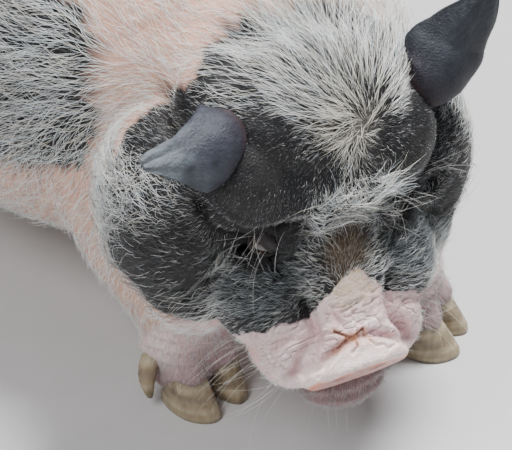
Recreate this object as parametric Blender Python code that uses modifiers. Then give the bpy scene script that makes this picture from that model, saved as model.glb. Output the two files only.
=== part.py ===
"""A pot bellied pig standing with its head lowered, as a still life-size model.

Metres, +Z up. The pig faces -Y and its left side is +X. The soles of its claws are at Z = 0.
Its flesh is one fused body that thin cuts part into head, neck, torso and legs.
"""

import math

import bmesh
import bpy
import numpy as np
from mathutils import Matrix, Vector
from mathutils.bvhtree import BVHTree

GAP = 0.0003
HORN_GAP = 0.0006

# Pose of the head: where its own frame starts (the base of the skull), and how it is turned
SKULL_BASE = Vector((-0.0348, -0.2352, 0.2733))
HEAD_DOWN = math.radians(45)
HEAD_ASIDE = math.radians(-16.4)

# Fusing of the flesh
BODY_VOXEL = 0.007
BODY_SMOOTHING = 12
HEAD_VOXEL = 0.0045
HEAD_SMOOTHING = 3
FLESH_TRIANGLES = 4700

# Ears
EAR_LENGTH = 0.104
EAR_THICK = 0.0048
EAR_CUTS = {"left": 0.30, "right": 0.40}
EAR_START = -0.16
EAR_END = 0.985

# Eyes
EYE_RADIUS = 0.0120
EYE_AT = (0.1020, 0.0540, 0.0765)
EYE_LOOKS = (0.48, 0.80, 0.36)
LID_THICK = 0.0028
LID_OPEN = (0.0108, 0.0050)

# Muzzle
DISC_AT = (0.2215, 0.0, 0.0345)
DISC_HALF = (0.0400, 0.0320)
DISC_TILT = math.radians(8)
NOSTRIL_HALF = (0.0120, 0.0072, 0.0095)
NOSTRIL_ASIDE = 0.0155
MOUTH_SLIT = 0.0016

# Feet: middle of each foot on the floor, turn outwards, and size against the fore foot
CLAW_LENGTH = 0.066
CLAW_WIDTH = 0.0325
CLAW_HEIGHT = 0.038
CLAW_ASIDE = 0.0195
FEET = {
    "fore_left": (Vector((0.096, -0.310, 0)), math.radians(31), 1.0),
    "fore_right": (Vector((-0.098, -0.233, 0)), math.radians(4.5), 1.0),
    "hind_left": (Vector((0.104, 0.300, 0)), math.radians(8), 0.94),
    "hind_right": (Vector((-0.104, 0.340, 0)), math.radians(-8), 0.94),
}

# Legs
SHOULDER_Y = -0.165
HIP_Y = 0.300

# Tail
TAIL_ROOT = Vector((0.0, 0.430, 0.345))
TAIL_LENGTH = 0.17
TAIL_THICK = 0.013
TAIL_STUMP = 0.20

# Coat: locks of long bristles, each group as its node, length, width, thickness, rise of the tip and spacing
COAT_SEED = 6
COAT = {
    "crown": ("head", 0.054, 0.0170, 0.0015, 0.0050, 0.0265),
    "jowls": ("head", 0.044, 0.0150, 0.0013, 0.0040, 0.0310),
    "crest": ("neck", 0.064, 0.0190, 0.0016, 0.0060, 0.0265),
    "back": ("torso", 0.088, 0.0250, 0.0018, 0.0060, 0.0450),
    "tassel": ("tail", 0.058, 0.0070, 0.0016, 0.0000, 0.0000),
}
LOCK_STEPS = 4
LOCK_ROOT = 0.006
LOCK_CLEAR = 0.0025
LOCK_FLOAT = 0.0006
LOCK_WIDTHS = (0.60, 1.00, 1.00, 0.70)
LOCK_TRIES = 9000
LOCK_YAW = 0.22
LOCK_CURL = 0.16
TASSEL_LOCKS = 10
TASSEL_SHARES = (0.50, 0.90)
TASSEL_TURN = 2.4
WHORL = Vector((0.069, 0.002, 0.140))


def clear_scene():
    for obj in list(bpy.data.objects):
        bpy.data.objects.remove(obj)


def new_collection(name):
    made = bpy.data.collections.new(name)
    bpy.context.scene.collection.children.link(made)
    return made


def material(name, colour, roughness):
    made = bpy.data.materials.new(name)
    made.use_nodes = True
    shader = made.node_tree.nodes["Principled BSDF"]
    shader.inputs["Base Color"].default_value = (*colour, 1.0)
    shader.inputs["Roughness"].default_value = roughness
    shader.inputs["Metallic"].default_value = 0.0
    return made


def head_matrix():
    """The head's frame in the pig's: X to the snout, Y to the pig's left, Z out of the crown."""
    level = Matrix(((0, 1, 0), (-1, 0, 0), (0, 0, 1)))
    turned = Matrix.Rotation(HEAD_ASIDE, 3, "Z") @ level @ Matrix.Rotation(HEAD_DOWN, 3, "Y")
    return Matrix.Translation(SKULL_BASE) @ turned.to_4x4()


HEAD = head_matrix()
BODY = Matrix.Identity(4)


# Building blocks


def object_of(bm, name, collection):
    bmesh.ops.recalc_face_normals(bm, faces=bm.faces)
    mesh = bpy.data.meshes.new(name)
    bm.to_mesh(mesh)
    bm.free()
    obj = bpy.data.objects.new(name, mesh)
    collection.objects.link(obj)
    return obj


def lobe(bm, at, half, frame=BODY, turn=(0, 0, 0), detail=3):
    """An ellipsoid with half axes half, turned by Euler degrees in its frame."""
    spin = Matrix.Rotation(math.radians(turn[2]), 4, "Z")
    spin = spin @ Matrix.Rotation(math.radians(turn[1]), 4, "Y")
    spin = spin @ Matrix.Rotation(math.radians(turn[0]), 4, "X")
    place = frame @ Matrix.Translation(at) @ spin @ Matrix.Diagonal((*half, 1))
    bmesh.ops.create_icosphere(bm, subdivisions=detail, radius=1.0, matrix=place)


def lobes(bm, at, half, frame=BODY, turn=(0, 0, 0)):
    """The same ellipsoid on the left and the right."""
    lobe(bm, at, half, frame, turn)
    across = 0 if frame is BODY else 1
    mirrored = list(at)
    mirrored[across] = -mirrored[across]
    turned = (turn[0], -turn[1], -turn[2]) if frame is BODY else (-turn[0], turn[1], -turn[2])
    lobe(bm, mirrored, half, frame, turned)


def bridge(bm, rings, closed=False):
    """Faces between rings of vertices that match one to one, with flat ends unless closed."""
    pairs = list(zip(rings, rings[1:]))
    if closed:
        pairs.append((rings[-1], rings[0]))
    else:
        bm.faces.new(rings[0])
        bm.faces.new(rings[-1])
    for low, high in pairs:
        for k, vert in enumerate(low):
            after = (k + 1) % len(low)
            bm.faces.new((vert, low[after], high[after], high[k]))


def oval_ring(bm, centre, side, up, half_side, half_up, power=2.0, sides=24):
    """A superellipse of vertices; power 2 is an ellipse, and more is squarer."""
    verts = []
    for k in range(sides):
        angle = 2 * math.pi * k / sides
        c, s = math.cos(angle), math.sin(angle)
        across = half_side * math.copysign(abs(c) ** (2 / power), c)
        raised = half_up * math.copysign(abs(s) ** (2 / power), s)
        verts.append(bm.verts.new(centre + side * across + up * raised))
    return verts


def tube(bm, stations, frame=BODY, side=(1, 0, 0), power=2.0, sides=20):
    """A closed form through stations of (centre, half width, half depth), its rings square to its path."""
    centres = [frame @ Vector(s[0]) for s in stations]
    across = (frame.to_3x3() @ Vector(side)).normalized()
    rings = []
    for k, (_, wide, deep) in enumerate(stations):
        ahead = centres[min(k + 1, len(centres) - 1)] - centres[max(k - 1, 0)]
        up = ahead.cross(across).normalized()
        rings.append(oval_ring(bm, centres[k], up.cross(ahead).normalized(), up, wide, deep, power, sides))
    bridge(bm, rings)


def baked(obj):
    """Replaces the object's mesh by the one its modifiers make."""
    graph = bpy.context.evaluated_depsgraph_get()
    mesh = bpy.data.meshes.new_from_object(obj.evaluated_get(graph))
    obj.modifiers.clear()
    obj.data = mesh
    return obj


def fuse(obj, voxel, smoothing):
    """One closed skin round all the forms in the object."""
    remesh = obj.modifiers.new("fuse", "REMESH")
    remesh.mode = "VOXEL"
    remesh.voxel_size = voxel
    smooth = obj.modifiers.new("soften", "SMOOTH")
    smooth.factor = 0.5
    smooth.iterations = smoothing
    return baked(obj)


def thin_out(obj, triangles):
    """Collapses edges until about this many triangles are left."""
    obj.modifiers.new("triangles", "TRIANGULATE")
    baked(obj)
    fewer = obj.modifiers.new("fewer", "DECIMATE")
    fewer.ratio = triangles / len(obj.data.polygons)
    return baked(obj)


def boolean(obj, other, operation, solver="EXACT"):
    """Applies one Boolean with another mesh object, which stays."""
    step = obj.modifiers.new(operation, "BOOLEAN")
    step.operation = operation
    step.solver = solver
    step.object = other
    return baked(obj)


def copy_of(obj, name, collection):
    made = bpy.data.objects.new(name, obj.data.copy())
    collection.objects.link(made)
    return made


def keep_largest(obj):
    """Keeps the largest closed surface, which drops scraps and fills sealed hollows."""
    bm = bmesh.new()
    bm.from_mesh(obj.data)
    left = set(bm.faces)
    groups = []
    while left:
        seed = left.pop()
        group, rim = [seed], [seed]
        while rim:
            for edge in rim.pop().edges:
                for face in edge.link_faces:
                    if face in left:
                        left.remove(face)
                        group.append(face)
                        rim.append(face)
        groups.append(group)
    groups.sort(key=len)
    for group in groups[:-1]:
        bmesh.ops.delete(bm, geom=group, context="FACES")
    bm.to_mesh(obj.data)
    bm.free()
    return obj


# Torso, neck and legs


def torso_forms(bm):
    """The barrel, from the chest to the rump, as (y, top, bottom, half width)."""
    sections = [
        (-0.310, 0.330, 0.200, 0.070),
        (-0.275, 0.378, 0.150, 0.105),
        (-0.215, 0.410, 0.114, 0.134),
        (-0.145, 0.428, 0.088, 0.159),
        (-0.085, 0.430, 0.062, 0.179),
        (0.015, 0.420, 0.042, 0.200),
        (0.115, 0.411, 0.040, 0.204),
        (0.205, 0.412, 0.056, 0.194),
        (0.275, 0.414, 0.096, 0.171),
        (0.335, 0.408, 0.160, 0.140),
        (0.385, 0.388, 0.215, 0.110),
        (0.420, 0.358, 0.265, 0.072),
        (0.435, 0.338, 0.290, 0.035),
    ]
    rings = []
    for y, top, bottom, wide in sections:
        centre = Vector((0, y, (top + bottom) / 2))
        rings.append(
            oval_ring(bm, centre, Vector((1, 0, 0)), Vector((0, 0, 1)), wide, (top - bottom) / 2, 2.25, 32)
        )
    bridge(bm, rings)
    lobes(bm, (0.094, -0.165, 0.245), (0.058, 0.085, 0.125), turn=(12, -6, 0))
    lobes(bm, (0.100, 0.300, 0.250), (0.066, 0.105, 0.135), turn=(-10, -6, 0))
    lobe(bm, (0, -0.260, 0.215), (0.085, 0.075, 0.085))


def neck_forms(bm):
    stations = [
        ((0.000, -0.095, 0.275), 0.130, 0.145),
        ((-0.004, -0.170, 0.280), 0.132, 0.142),
        ((-0.018, -0.235, 0.278), 0.128, 0.126),
        ((-0.038, -0.290, 0.268), 0.115, 0.102),
        ((-0.054, -0.335, 0.252), 0.090, 0.072),
    ]
    tube(bm, stations, power=2.2, sides=28)
    lobe(bm, (-0.020, -0.225, 0.358), (0.075, 0.105, 0.058), turn=(18, 0, 12))


def foot_frame(name):
    """The foot's frame: X across it to the pig's left, -Y to its toes."""
    place, turn, size = FEET[name]
    return Matrix.Translation(place) @ Matrix.Rotation(turn, 4, "Z") @ Matrix.Scale(size, 4)


def toe_forms(bm, name):
    """The flesh of the foot: the pastern, two toes and the heels behind the claws."""
    frame = foot_frame(name)
    for side in (-1, 1):
        aside = side * CLAW_ASIDE
        stations = [
            ((side * 0.012, 0.022, 0.066), 0.019, 0.020),
            ((side * 0.016, 0.006, 0.046), 0.019, 0.020),
            ((aside, -0.006, 0.032), 0.0165, 0.018),
            ((aside, -0.012, 0.024), 0.0150, 0.015),
        ]
        tube(bm, stations, frame, sides=14)
        lobe(bm, (aside, 0.020, 0.022), (0.0155, 0.020, 0.0155), frame)
        lobe(bm, (side * 0.028, 0.028, 0.058), (0.014, 0.014, 0.016), frame)


def leg_forms(bm, name):
    foot = foot_frame(name)
    side = 1 if "left" in name else -1
    across = foot.to_3x3() @ Vector((1, 0, 0))
    foot_y = foot.translation.y
    if "fore" in name:
        reach = foot_y - SHOULDER_Y
        joints = [
            ((side * 0.092, SHOULDER_Y, 0.240), 0.056, 0.074),
            ((side * 0.107, SHOULDER_Y + 0.40 * reach + 0.040, 0.180), 0.056, 0.068),
            ((side * 0.106, SHOULDER_Y + 0.60 * reach + 0.038, 0.146), 0.052, 0.060),
            ((side * 0.104, SHOULDER_Y + 0.80 * reach + 0.032, 0.118), 0.046, 0.050),
        ]
        low = [((0, 0.028, 0.092), 0.041, 0.041), ((0, 0.022, 0.070), 0.038, 0.035), ((0, 0.012, 0.050), 0.038, 0.030)]
    else:
        reach = foot_y - HIP_Y
        joints = [
            ((side * 0.104, HIP_Y, 0.245), 0.062, 0.090),
            ((side * 0.108, HIP_Y + 0.3 * reach, 0.185), 0.054, 0.074),
            ((side * 0.108, HIP_Y + 0.8 * reach + 0.040, 0.140), 0.038, 0.048),
        ]
        low = [((0, 0.052, 0.112), 0.031, 0.040), ((0, 0.036, 0.080), 0.028, 0.031), ((0, 0.016, 0.052), 0.031, 0.026)]
    stations = [(Vector(at), wide, deep) for at, wide, deep in joints]
    stations += [(foot @ Vector(at), wide, deep) for at, wide, deep in low]
    tube(bm, stations, side=across, sides=22)
    toe_forms(bm, name)


# Head, in its own frame


def head_forms(bm):
    """The skull's flesh: lobes whose borders stay as the folds of a fat face."""
    lobe(bm, (0.038, 0, 0.075), (0.082, 0.090, 0.070), HEAD)
    lobe(bm, (0.022, 0, 0.118), (0.060, 0.076, 0.042), HEAD, (0, 10, 0))
    lobe(bm, (0.062, 0, 0.098), (0.052, 0.042, 0.036), HEAD, (0, 30, 0))
    lobes(bm, (0.052, 0.056, 0.100), (0.046, 0.044, 0.038), HEAD, (0, 28, -14))
    lobes(bm, (0.002, 0.056, 0.092), (0.050, 0.042, 0.044), HEAD)
    lobes(bm, (0.048, 0.101, 0.018), (0.082, 0.056, 0.076), HEAD, (0, 20, 8))
    lobes(bm, (0.100, 0.090, -0.006), (0.056, 0.045, 0.056), HEAD, (0, 20, 10))
    lobes(bm, (0.140, 0.052, 0.036), (0.046, 0.040, 0.036), HEAD, (0, 14, 8))
    lobes(bm, (0.020, 0.070, -0.020), (0.070, 0.055, 0.080), HEAD)
    lobe(bm, (0.060, 0, -0.030), (0.085, 0.075, 0.062), HEAD)


def muzzle_forms(bm):
    stations = [
        ((0.080, 0, 0.056), 0.062, 0.050),
        ((0.115, 0, 0.050), 0.056, 0.045),
        ((0.150, 0, 0.042), 0.052, 0.038),
        ((0.180, 0, 0.036), 0.047, 0.032),
        ((0.208, 0, 0.034), 0.040, 0.030),
    ]
    tube(bm, stations, HEAD, side=(0, 1, 0), power=2.2, sides=24)
    lobes(bm, (0.176, 0.038, 0.021), (0.045, 0.036, 0.033), HEAD, (0, 8, 4))
    lobe(bm, (0.184, 0, 0.060), (0.010, 0.034, 0.009), HEAD)
    jaw = [
        ((0.060, 0, -0.040), 0.062, 0.040),
        ((0.110, 0, -0.032), 0.052, 0.032),
        ((0.150, 0, -0.027), 0.046, 0.025),
        ((0.185, 0, -0.023), 0.041, 0.021),
        ((0.215, 0, -0.021), 0.036, 0.018),
    ]
    tube(bm, jaw, HEAD, side=(0, 1, 0), sides=20)
    lobe(bm, (0.219, 0.008, -0.0205), (0.030, 0.039, 0.0185), HEAD)


def brow_forms(bm):
    """The small folds between the eyes and the bridge of the nose."""
    lobes(bm, (0.107, 0.039, 0.082), (0.017, 0.015, 0.015), HEAD)


def disc_frame():
    return HEAD @ Matrix.Translation(DISC_AT) @ Matrix.Rotation(-DISC_TILT, 4, "Y")


def snout_disc(collection):
    """The nose plate: a rim, deepest at its top, round a face dished inside it."""
    profile = [
        (-0.0300, 0.80),
        (-0.0150, 0.93),
        (-0.0075, 1.02),
        (0.0000, 1.05),
        (0.0030, 0.99),
        (0.0036, 0.90),
        (0.0018, 0.74),
    ]
    bm = bmesh.new()
    place = disc_frame()
    sides = 24
    rings = []
    for ahead, share in profile:
        ring = []
        for k in range(sides):
            angle = 2 * math.pi * k / sides
            c, s = math.cos(angle), math.sin(angle)
            back = min(0.0, ahead) * 0.6 * max(0.0, s) ** 2
            y = DISC_HALF[0] * share * math.copysign(abs(c) ** 0.87, c)
            z = DISC_HALF[1] * share * math.copysign(abs(s) ** 0.87, s)
            ring.append(bm.verts.new(place @ Vector((ahead + back, y, z))))
        rings.append(ring)
    bridge(bm, rings)
    return object_of(bm, "snout_disc", collection)


def nostril_cutters(collection):
    made = []
    for side in (-1, 1):
        bm = bmesh.new()
        at = (0.0020, side * NOSTRIL_ASIDE, 0.0010)
        lobe(bm, at, NOSTRIL_HALF, disc_frame(), (side * 18, 0, 0), 2)
        made.append(object_of(bm, f"nostril_cutter_{side}", collection))
    return made


def mouth_cutter(collection):
    """A thin curved slab along the line of the mouth, from past the chin back to its corners."""
    line = [(0.128, 0.0115), (0.140, 0.0040), (0.160, -0.0020), (0.185, -0.0030), (0.205, -0.0005), (0.245, 0.0010)]
    reach = 0.080
    bm = bmesh.new()
    rings = []
    for x, z in line:
        half = MOUTH_SLIT / 2
        corners = [(x, -reach, z - half), (x, reach, z - half), (x, reach, z + half), (x, -reach, z + half)]
        rings.append([bm.verts.new(HEAD @ Vector(c)) for c in corners])
    bridge(bm, rings)
    return object_of(bm, "mouth_cutter", collection)


# Ears


def ear_pose(side):
    """Root, way out of the head, way to the tip, and the side the back faces. The right ear is held out."""
    if side > 0:
        return (0.030, 0.090, 0.110), (0.10, 0.60, 0.79), (-0.62, 0.52, 0.58), (0.80, -0.30, 0.60)
    return (0.020, -0.071, 0.126), (0.12, -0.50, 0.85), (0.07, -0.87, 0.36), (-0.10, 0.55, 1.0)


def ear_path(side, share):
    """Point, way along, way across and way out of the back, at a share of the ear's length."""
    root, out, to_tip, facing = [Vector(v) for v in ear_pose(side)]
    out.normalize()
    to_tip.normalize()
    steps = 24
    at = root.copy()
    step = share / steps
    ahead = out
    for k in range(steps):
        bend = min(1.0, max(0.0, (k + 0.5) * step / 0.34))
        ahead = out.lerp(to_tip, bend * bend * (3 - 2 * bend)).normalized()
        at += ahead * EAR_LENGTH * step
    back = (facing - ahead * facing.dot(ahead)).normalized()
    return at, ahead, ahead.cross(back), back


def along(table, share):
    """A value read between rows of (share, value)."""
    shares, values = zip(*table)
    return float(np.interp(share, shares, values))


def ear_section(bm, side, share):
    """One C-shaped section of the ear, its thick arc open on the cup's side."""
    at, _, across, back = ear_path(side, share)
    arc = along([(-0.2, 0.070), (0, 0.088), (0.2, 0.103), (0.4, 0.087), (0.6, 0.056), (0.8, 0.030), (1, 0.009)], share)
    spread = along([(-0.2, 2.0), (0, 2.0), (0.2, 1.65), (0.45, 1.10), (0.75, 0.80), (1, 0.60)], share)
    radius = arc / (2 * spread)
    seat = along([(-0.2, 0.2), (0.5, 1.0)], share)
    thick = EAR_THICK * (1.0 - 0.45 * max(0.0, share))
    steps = 8
    outer, inner = [], []
    for k in range(steps + 1):
        angle = -spread + 2 * spread * k / steps
        lip = 1.0 - 0.35 * abs(2 * k / steps - 1) ** 4
        for ring, r in ((outer, radius), (inner, radius - thick * lip)):
            spot = at + across * r * math.sin(angle) + back * (r * math.cos(angle) - radius * seat)
            ring.append(bm.verts.new(HEAD @ spot))
    return outer + inner[::-1]


def ear(side, first, last, name, collection):
    """The part of an ear between two shares of its length."""
    steps = max(3, round((last - first) * 14))
    bm = bmesh.new()
    shares = [first + (last - first) * k / steps for k in range(steps + 1)]
    bridge(bm, [ear_section(bm, side, share) for share in shares])
    return object_of(bm, name, collection)


# Eyes


def eye_frame(side):
    """Z out of the pupil, X along the slit of the lids to the snout."""
    z = Vector((EYE_LOOKS[0], side * EYE_LOOKS[1], EYE_LOOKS[2])).normalized()
    ahead = Vector((1.0, 0, 0.10))
    x = (ahead - z * ahead.dot(z)).normalized()
    y = z.cross(x)
    turned = Matrix((x, y, z)).transposed().to_4x4()
    return HEAD @ Matrix.Translation((EYE_AT[0], side * EYE_AT[1], EYE_AT[2])) @ turned


def eyeball(side, radius, name, collection):
    bm = bmesh.new()
    bmesh.ops.create_icosphere(bm, subdivisions=2, radius=radius, matrix=eye_frame(side))
    return object_of(bm, name, collection)


def lid_opening(side, collection):
    """A prism with an almond outline that opens the lids in front of the eyeball."""
    frame = eye_frame(side)
    steps = 20
    bm = bmesh.new()
    rings = []
    for depth in (EYE_RADIUS * 0.30, EYE_RADIUS * 2.0):
        ring = []
        for k in range(steps):
            angle = 2 * math.pi * k / steps
            c, s = math.cos(angle), math.sin(angle)
            ring.append(bm.verts.new(frame @ Vector((LID_OPEN[0] * c, LID_OPEN[1] * s * abs(s) ** 0.4, depth))))
        rings.append(ring)
    bridge(bm, rings)
    return object_of(bm, f"lid_opening_{side}", collection)


# Claws


def claw(name, side, grow, label, collection):
    """A main claw: a horn wedge with a flat sole, its rounded top sunk in the toe."""
    frame = foot_frame(name) @ Matrix.Translation((side * CLAW_ASIDE, 0, 0))
    half = CLAW_WIDTH / 2
    tip = -0.56 * CLAW_LENGTH
    sections = [
        # share of the width, toe end, heel end, height
        (1.00, tip, 0.0235, 0.0),
        (1.00, tip + 0.001, 0.0235, 0.006),
        (0.96, tip + 0.008, 0.0190, 0.018),
        (0.90, tip + 0.016, 0.0110, 0.029),
        (0.76, tip + 0.022, 0.0040, CLAW_HEIGHT),
    ]
    bm = bmesh.new()
    rings = []
    for share, front, back, height in sections:
        ring = []
        sides = 14
        middle, long = (front + back) / 2, (back - front) / 2 + grow
        for k in range(sides):
            angle = 2 * math.pi * k / sides
            c, s = math.cos(angle), math.sin(angle)
            narrow = 1.0 - 0.20 * max(0.0, -s) ** 2
            x = (half * share + grow) * narrow * math.copysign(abs(c) ** 0.85, c)
            y = middle + long * math.copysign(abs(s) ** 0.9, s)
            lift = height + (grow if height else -grow * 4)
            ring.append(bm.verts.new(frame @ Vector((x - side * 0.004 * max(0.0, -s) ** 2, y, lift))))
        rings.append(ring)
    bridge(bm, rings)
    return object_of(bm, label, collection)


def dewclaw(name, side, grow, label, collection):
    """A small claw behind the pastern that hangs clear of the floor."""
    frame = foot_frame(name)
    root = Vector((side * 0.0300, 0.026, 0.056))
    tip = Vector((side * 0.0455, 0.016, 0.014))
    widths = [0.0085, 0.0098, 0.0090, 0.0065, 0.0030]
    along = tip - root
    stations = []
    for k, wide in enumerate(widths):
        share = k / (len(widths) - 1)
        sag = Vector((side * 0.005 * math.sin(math.pi * share), 0, 0))
        stations.append((root + along * share + sag, wide + grow, wide * 0.85 + grow))
    if grow:
        stations[0] = (stations[0][0] - along.normalized() * grow * 2, *stations[0][1:])
    bm = bmesh.new()
    tube(bm, stations, frame, sides=8)
    return object_of(bm, label, collection)


# Tail


def tail_point(share):
    """The line of the tail: out from the rump, then hanging with a slight curl."""
    y = 0.052 * math.sin(min(1.0, share * 1.9) * math.pi / 2) - 0.018 * max(0.0, share - 0.5)
    z = 0.012 * math.sin(math.pi * min(1.0, share * 2.6)) - TAIL_LENGTH * max(0.0, share) ** 1.25
    x = -0.030 * max(0.0, share - 0.25) ** 1.5
    return TAIL_ROOT + Vector((x, y, z))


def tail_piece(first, last, name, collection):
    steps = max(3, round((last - first) * 14))
    bm = bmesh.new()
    rings = []
    for k in range(steps + 1):
        share = first + (last - first) * k / steps
        ahead = (tail_point(share + 0.02) - tail_point(share - 0.02)).normalized()
        up = ahead.cross(Vector((1, 0, 0))).normalized()
        thick = TAIL_THICK * (1.0 - 0.62 * max(0.0, share) ** 0.8)
        rings.append(oval_ring(bm, tail_point(share), up.cross(ahead), up, thick, thick, 2.0, 12))
    bridge(bm, rings)
    return object_of(bm, name, collection)


# Coat


def surface_of(objects):
    bm = bmesh.new()
    for obj in objects:
        bm.from_mesh(obj.data)
    tree = BVHTree.FromBMesh(bm)
    bm.free()
    return tree


def on_crown(spot, out):
    at = HEAD.inverted() @ spot
    from_eye = (Vector((at.x, abs(at.y), at.z)) - Vector(EYE_AT)).length
    return at.x < 0.075 and at.z > 0.105 and abs(at.y) < 0.105 and from_eye > 0.045


def on_jowl(spot, out):
    at = HEAD.inverted() @ spot
    aside = abs((HEAD.to_3x3().inverted() @ out).y)
    return abs(at.y) > 0.060 and at.z < 0.055 and at.x < 0.140 and aside > 0.35


def on_crest(spot, out):
    return out.z > 0.30 and abs(spot.x + 0.02) < 0.105


def on_back(spot, out):
    return out.z > 0.45 and abs(spot.x) < 0.125 and spot.y < 0.405


def crown_comb(spot):
    """Outwards from the whorl between the ears, and more and more to the nape."""
    away = HEAD.inverted() @ spot - WHORL
    away = Vector((away.x - 0.030, away.y * 1.1, -0.01))
    return HEAD.to_3x3() @ away.normalized()


def jowl_comb(spot):
    side = 1 if (HEAD.inverted() @ spot).y > 0 else -1
    return HEAD.to_3x3() @ Vector((-0.75, side * 0.25, -0.55)).normalized()


def back_comb(spot):
    """To the tail and slightly down the flanks."""
    return Vector((spot.x * 2.2, 1.0, -abs(spot.x) * 1.5)).normalized()


GROWTH = {
    "crown": (on_crown, crown_comb),
    "jowls": (on_jowl, jowl_comb),
    "crest": (on_crest, back_comb),
    "back": (on_back, back_comb),
}


def lock_roots(obj, grows, apart, rng):
    """Spots on the node where a group of locks grows, with the ways out of the skin."""
    mesh = obj.data
    mesh.calc_loop_triangles()
    faces = [[mesh.vertices[i].co for i in t.vertices] for t in mesh.loop_triangles]
    outs = [t.normal.copy() for t in mesh.loop_triangles]
    areas = np.array([t.area for t in mesh.loop_triangles])
    roots = []
    for index in rng.choice(len(faces), LOCK_TRIES, p=areas / areas.sum()):
        a, b = sorted(rng.random(2))
        one, two, three = faces[index]
        spot = one * a + two * (b - a) + three * (1 - b)
        if not grows(spot, outs[index]):
            continue
        if all((spot - other).length > apart for other, _ in roots):
            roots.append((spot, outs[index]))
    return roots


def lock_line(tree, root, comb, sizes, rng):
    """Points, ways across and ways out along a lock that lies on the skin and lifts to its tip."""
    length, _, _, rise, _ = sizes
    spot, out = root
    step = length * rng.uniform(0.85, 1.15) / LOCK_STEPS
    yaw = rng.uniform(-LOCK_YAW, LOCK_YAW)
    curl = rng.uniform(-LOCK_CURL, LOCK_CURL)
    line = []
    for k in range(LOCK_STEPS + 1):
        ahead = Matrix.Rotation(yaw + curl * k, 3, out) @ comb(spot)
        ahead = (ahead - out * ahead.dot(out)).normalized()
        share = k / LOCK_STEPS
        above = LOCK_FLOAT + rise * share**1.6 if k else -LOCK_ROOT
        line.append((spot + out * above, ahead.cross(out), out))
        near, turned, _, _ = tree.find_nearest(spot + ahead * step)
        spot, out = near, (out + turned).normalized()
    return line


def tassel_line(share, angle, sizes):
    """A lock of the tail's tassel, which leaves the tail slowly and hangs."""
    length = sizes[0]
    ahead = (tail_point(share + 0.02) - tail_point(share - 0.02)).normalized()
    side = Vector((1, 0, 0))
    up = ahead.cross(side).normalized()
    out = side * math.cos(angle) + up * math.sin(angle)
    root = tail_point(share)
    line = []
    for k in range(LOCK_STEPS + 1):
        along_it = k / LOCK_STEPS
        spread = 0.001 + 0.016 * along_it**1.3 - 0.006 * along_it**3
        spot = root + ahead * length * along_it + out * spread
        line.append((spot, ahead.cross(out), out))
    return line


def lock(bm, line, sizes):
    """A flat, three-sided lock along its line, widest near its root, that ends in a point."""
    _, width, thick, _, _ = sizes
    rings = []
    for (spot, across, out), share in zip(line, LOCK_WIDTHS):
        half = width * share / 2
        rings.append(
            [
                bm.verts.new(spot - across * half),
                bm.verts.new(spot + across * half),
                bm.verts.new(spot + out * thick * max(0.5, share)),
            ]
        )
    tip = bm.verts.new(line[-1][0])
    bm.faces.new(rings[0])
    for low, high in zip(rings, rings[1:]):
        for k, vert in enumerate(low):
            bm.faces.new((vert, low[(k + 1) % 3], high[(k + 1) % 3], high[k]))
    for k, vert in enumerate(rings[-1]):
        bm.faces.new((vert, rings[-1][(k + 1) % 3], tip))


def is_clear(line, width, others):
    """Whether a lock keeps its distance from every other node, at close steps along and across it."""
    for (spot, across, _), (ahead, _, _) in zip(line, line[1:]):
        for forward in (0.0, 0.25, 0.5, 0.75, 1.0):
            middle = spot.lerp(ahead, forward)
            for aside in (-0.5, -0.25, 0.0, 0.25, 0.5):
                if others.find_nearest(middle + across * width * aside)[3] < LOCK_CLEAR:
                    return False
    return True


def grow_locks(group, parts, pig, coat, rng):
    """Adds the locks of one group as objects to the coat collection."""
    node, *sizes = COAT[group]
    others = surface_of([obj for obj in pig.objects if obj.name != node])
    if group == "tassel":
        shares = np.linspace(*TASSEL_SHARES, 4)
        lines = [tassel_line(shares[k % 4], TASSEL_TURN * k, sizes) for k in range(TASSEL_LOCKS)]
    else:
        grows, comb = GROWTH[group]
        tree = surface_of([parts[node]])
        roots = lock_roots(parts[node], grows, sizes[4], rng)
        lines = [lock_line(tree, root, comb, sizes, rng) for root in roots]
    for k, line in enumerate(lines):
        if is_clear(line, sizes[1], others):
            bm = bmesh.new()
            lock(bm, line, sizes)
            object_of(bm, f"lock_{group}_{k}", coat)


def dress_coat(parts, pig):
    """Fuses each node's locks with it."""
    rng = np.random.default_rng(COAT_SEED)
    for node in dict.fromkeys(entry[0] for entry in COAT.values()):
        coat = new_collection(f"coat_{node}")
        for group, entry in COAT.items():
            if entry[0] == node:
                grow_locks(group, parts, pig, coat, rng)
        step = parts[node].modifiers.new("coat", "BOOLEAN")
        step.operation = "UNION"
        step.operand_type = "COLLECTION"
        step.collection = coat
        step.solver = "MANIFOLD"
        baked(parts[node])
        for obj in list(coat.objects):
            bpy.data.objects.remove(obj)
        bpy.data.collections.remove(coat)
        keep_largest(parts[node])


# Thin cuts that part the flesh


def slab(corner, size, frame, name, collection):
    """A box from its lowest corner, in a frame."""
    bm = bmesh.new()
    middle = Vector(corner) + Vector(size) / 2
    bmesh.ops.create_cube(bm, size=1.0, matrix=frame @ Matrix.Translation(middle) @ Matrix.Diagonal((*size, 1)))
    return object_of(bm, name, collection)


def cut_frame(at, tilt, turn):
    """A frame whose -Y looks forward, down by tilt and aside by turn degrees."""
    aside = Matrix.Rotation(math.radians(turn), 4, "Z")
    return Matrix.Translation(at) @ aside @ Matrix.Rotation(math.radians(tilt), 4, "X")


HEAD_CUT = cut_frame((0, -0.272, 0.262), 24, -14)
NECK_CUT = cut_frame((0, -0.195, 0.260), 4, -4)
REACH = 0.8


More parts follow.
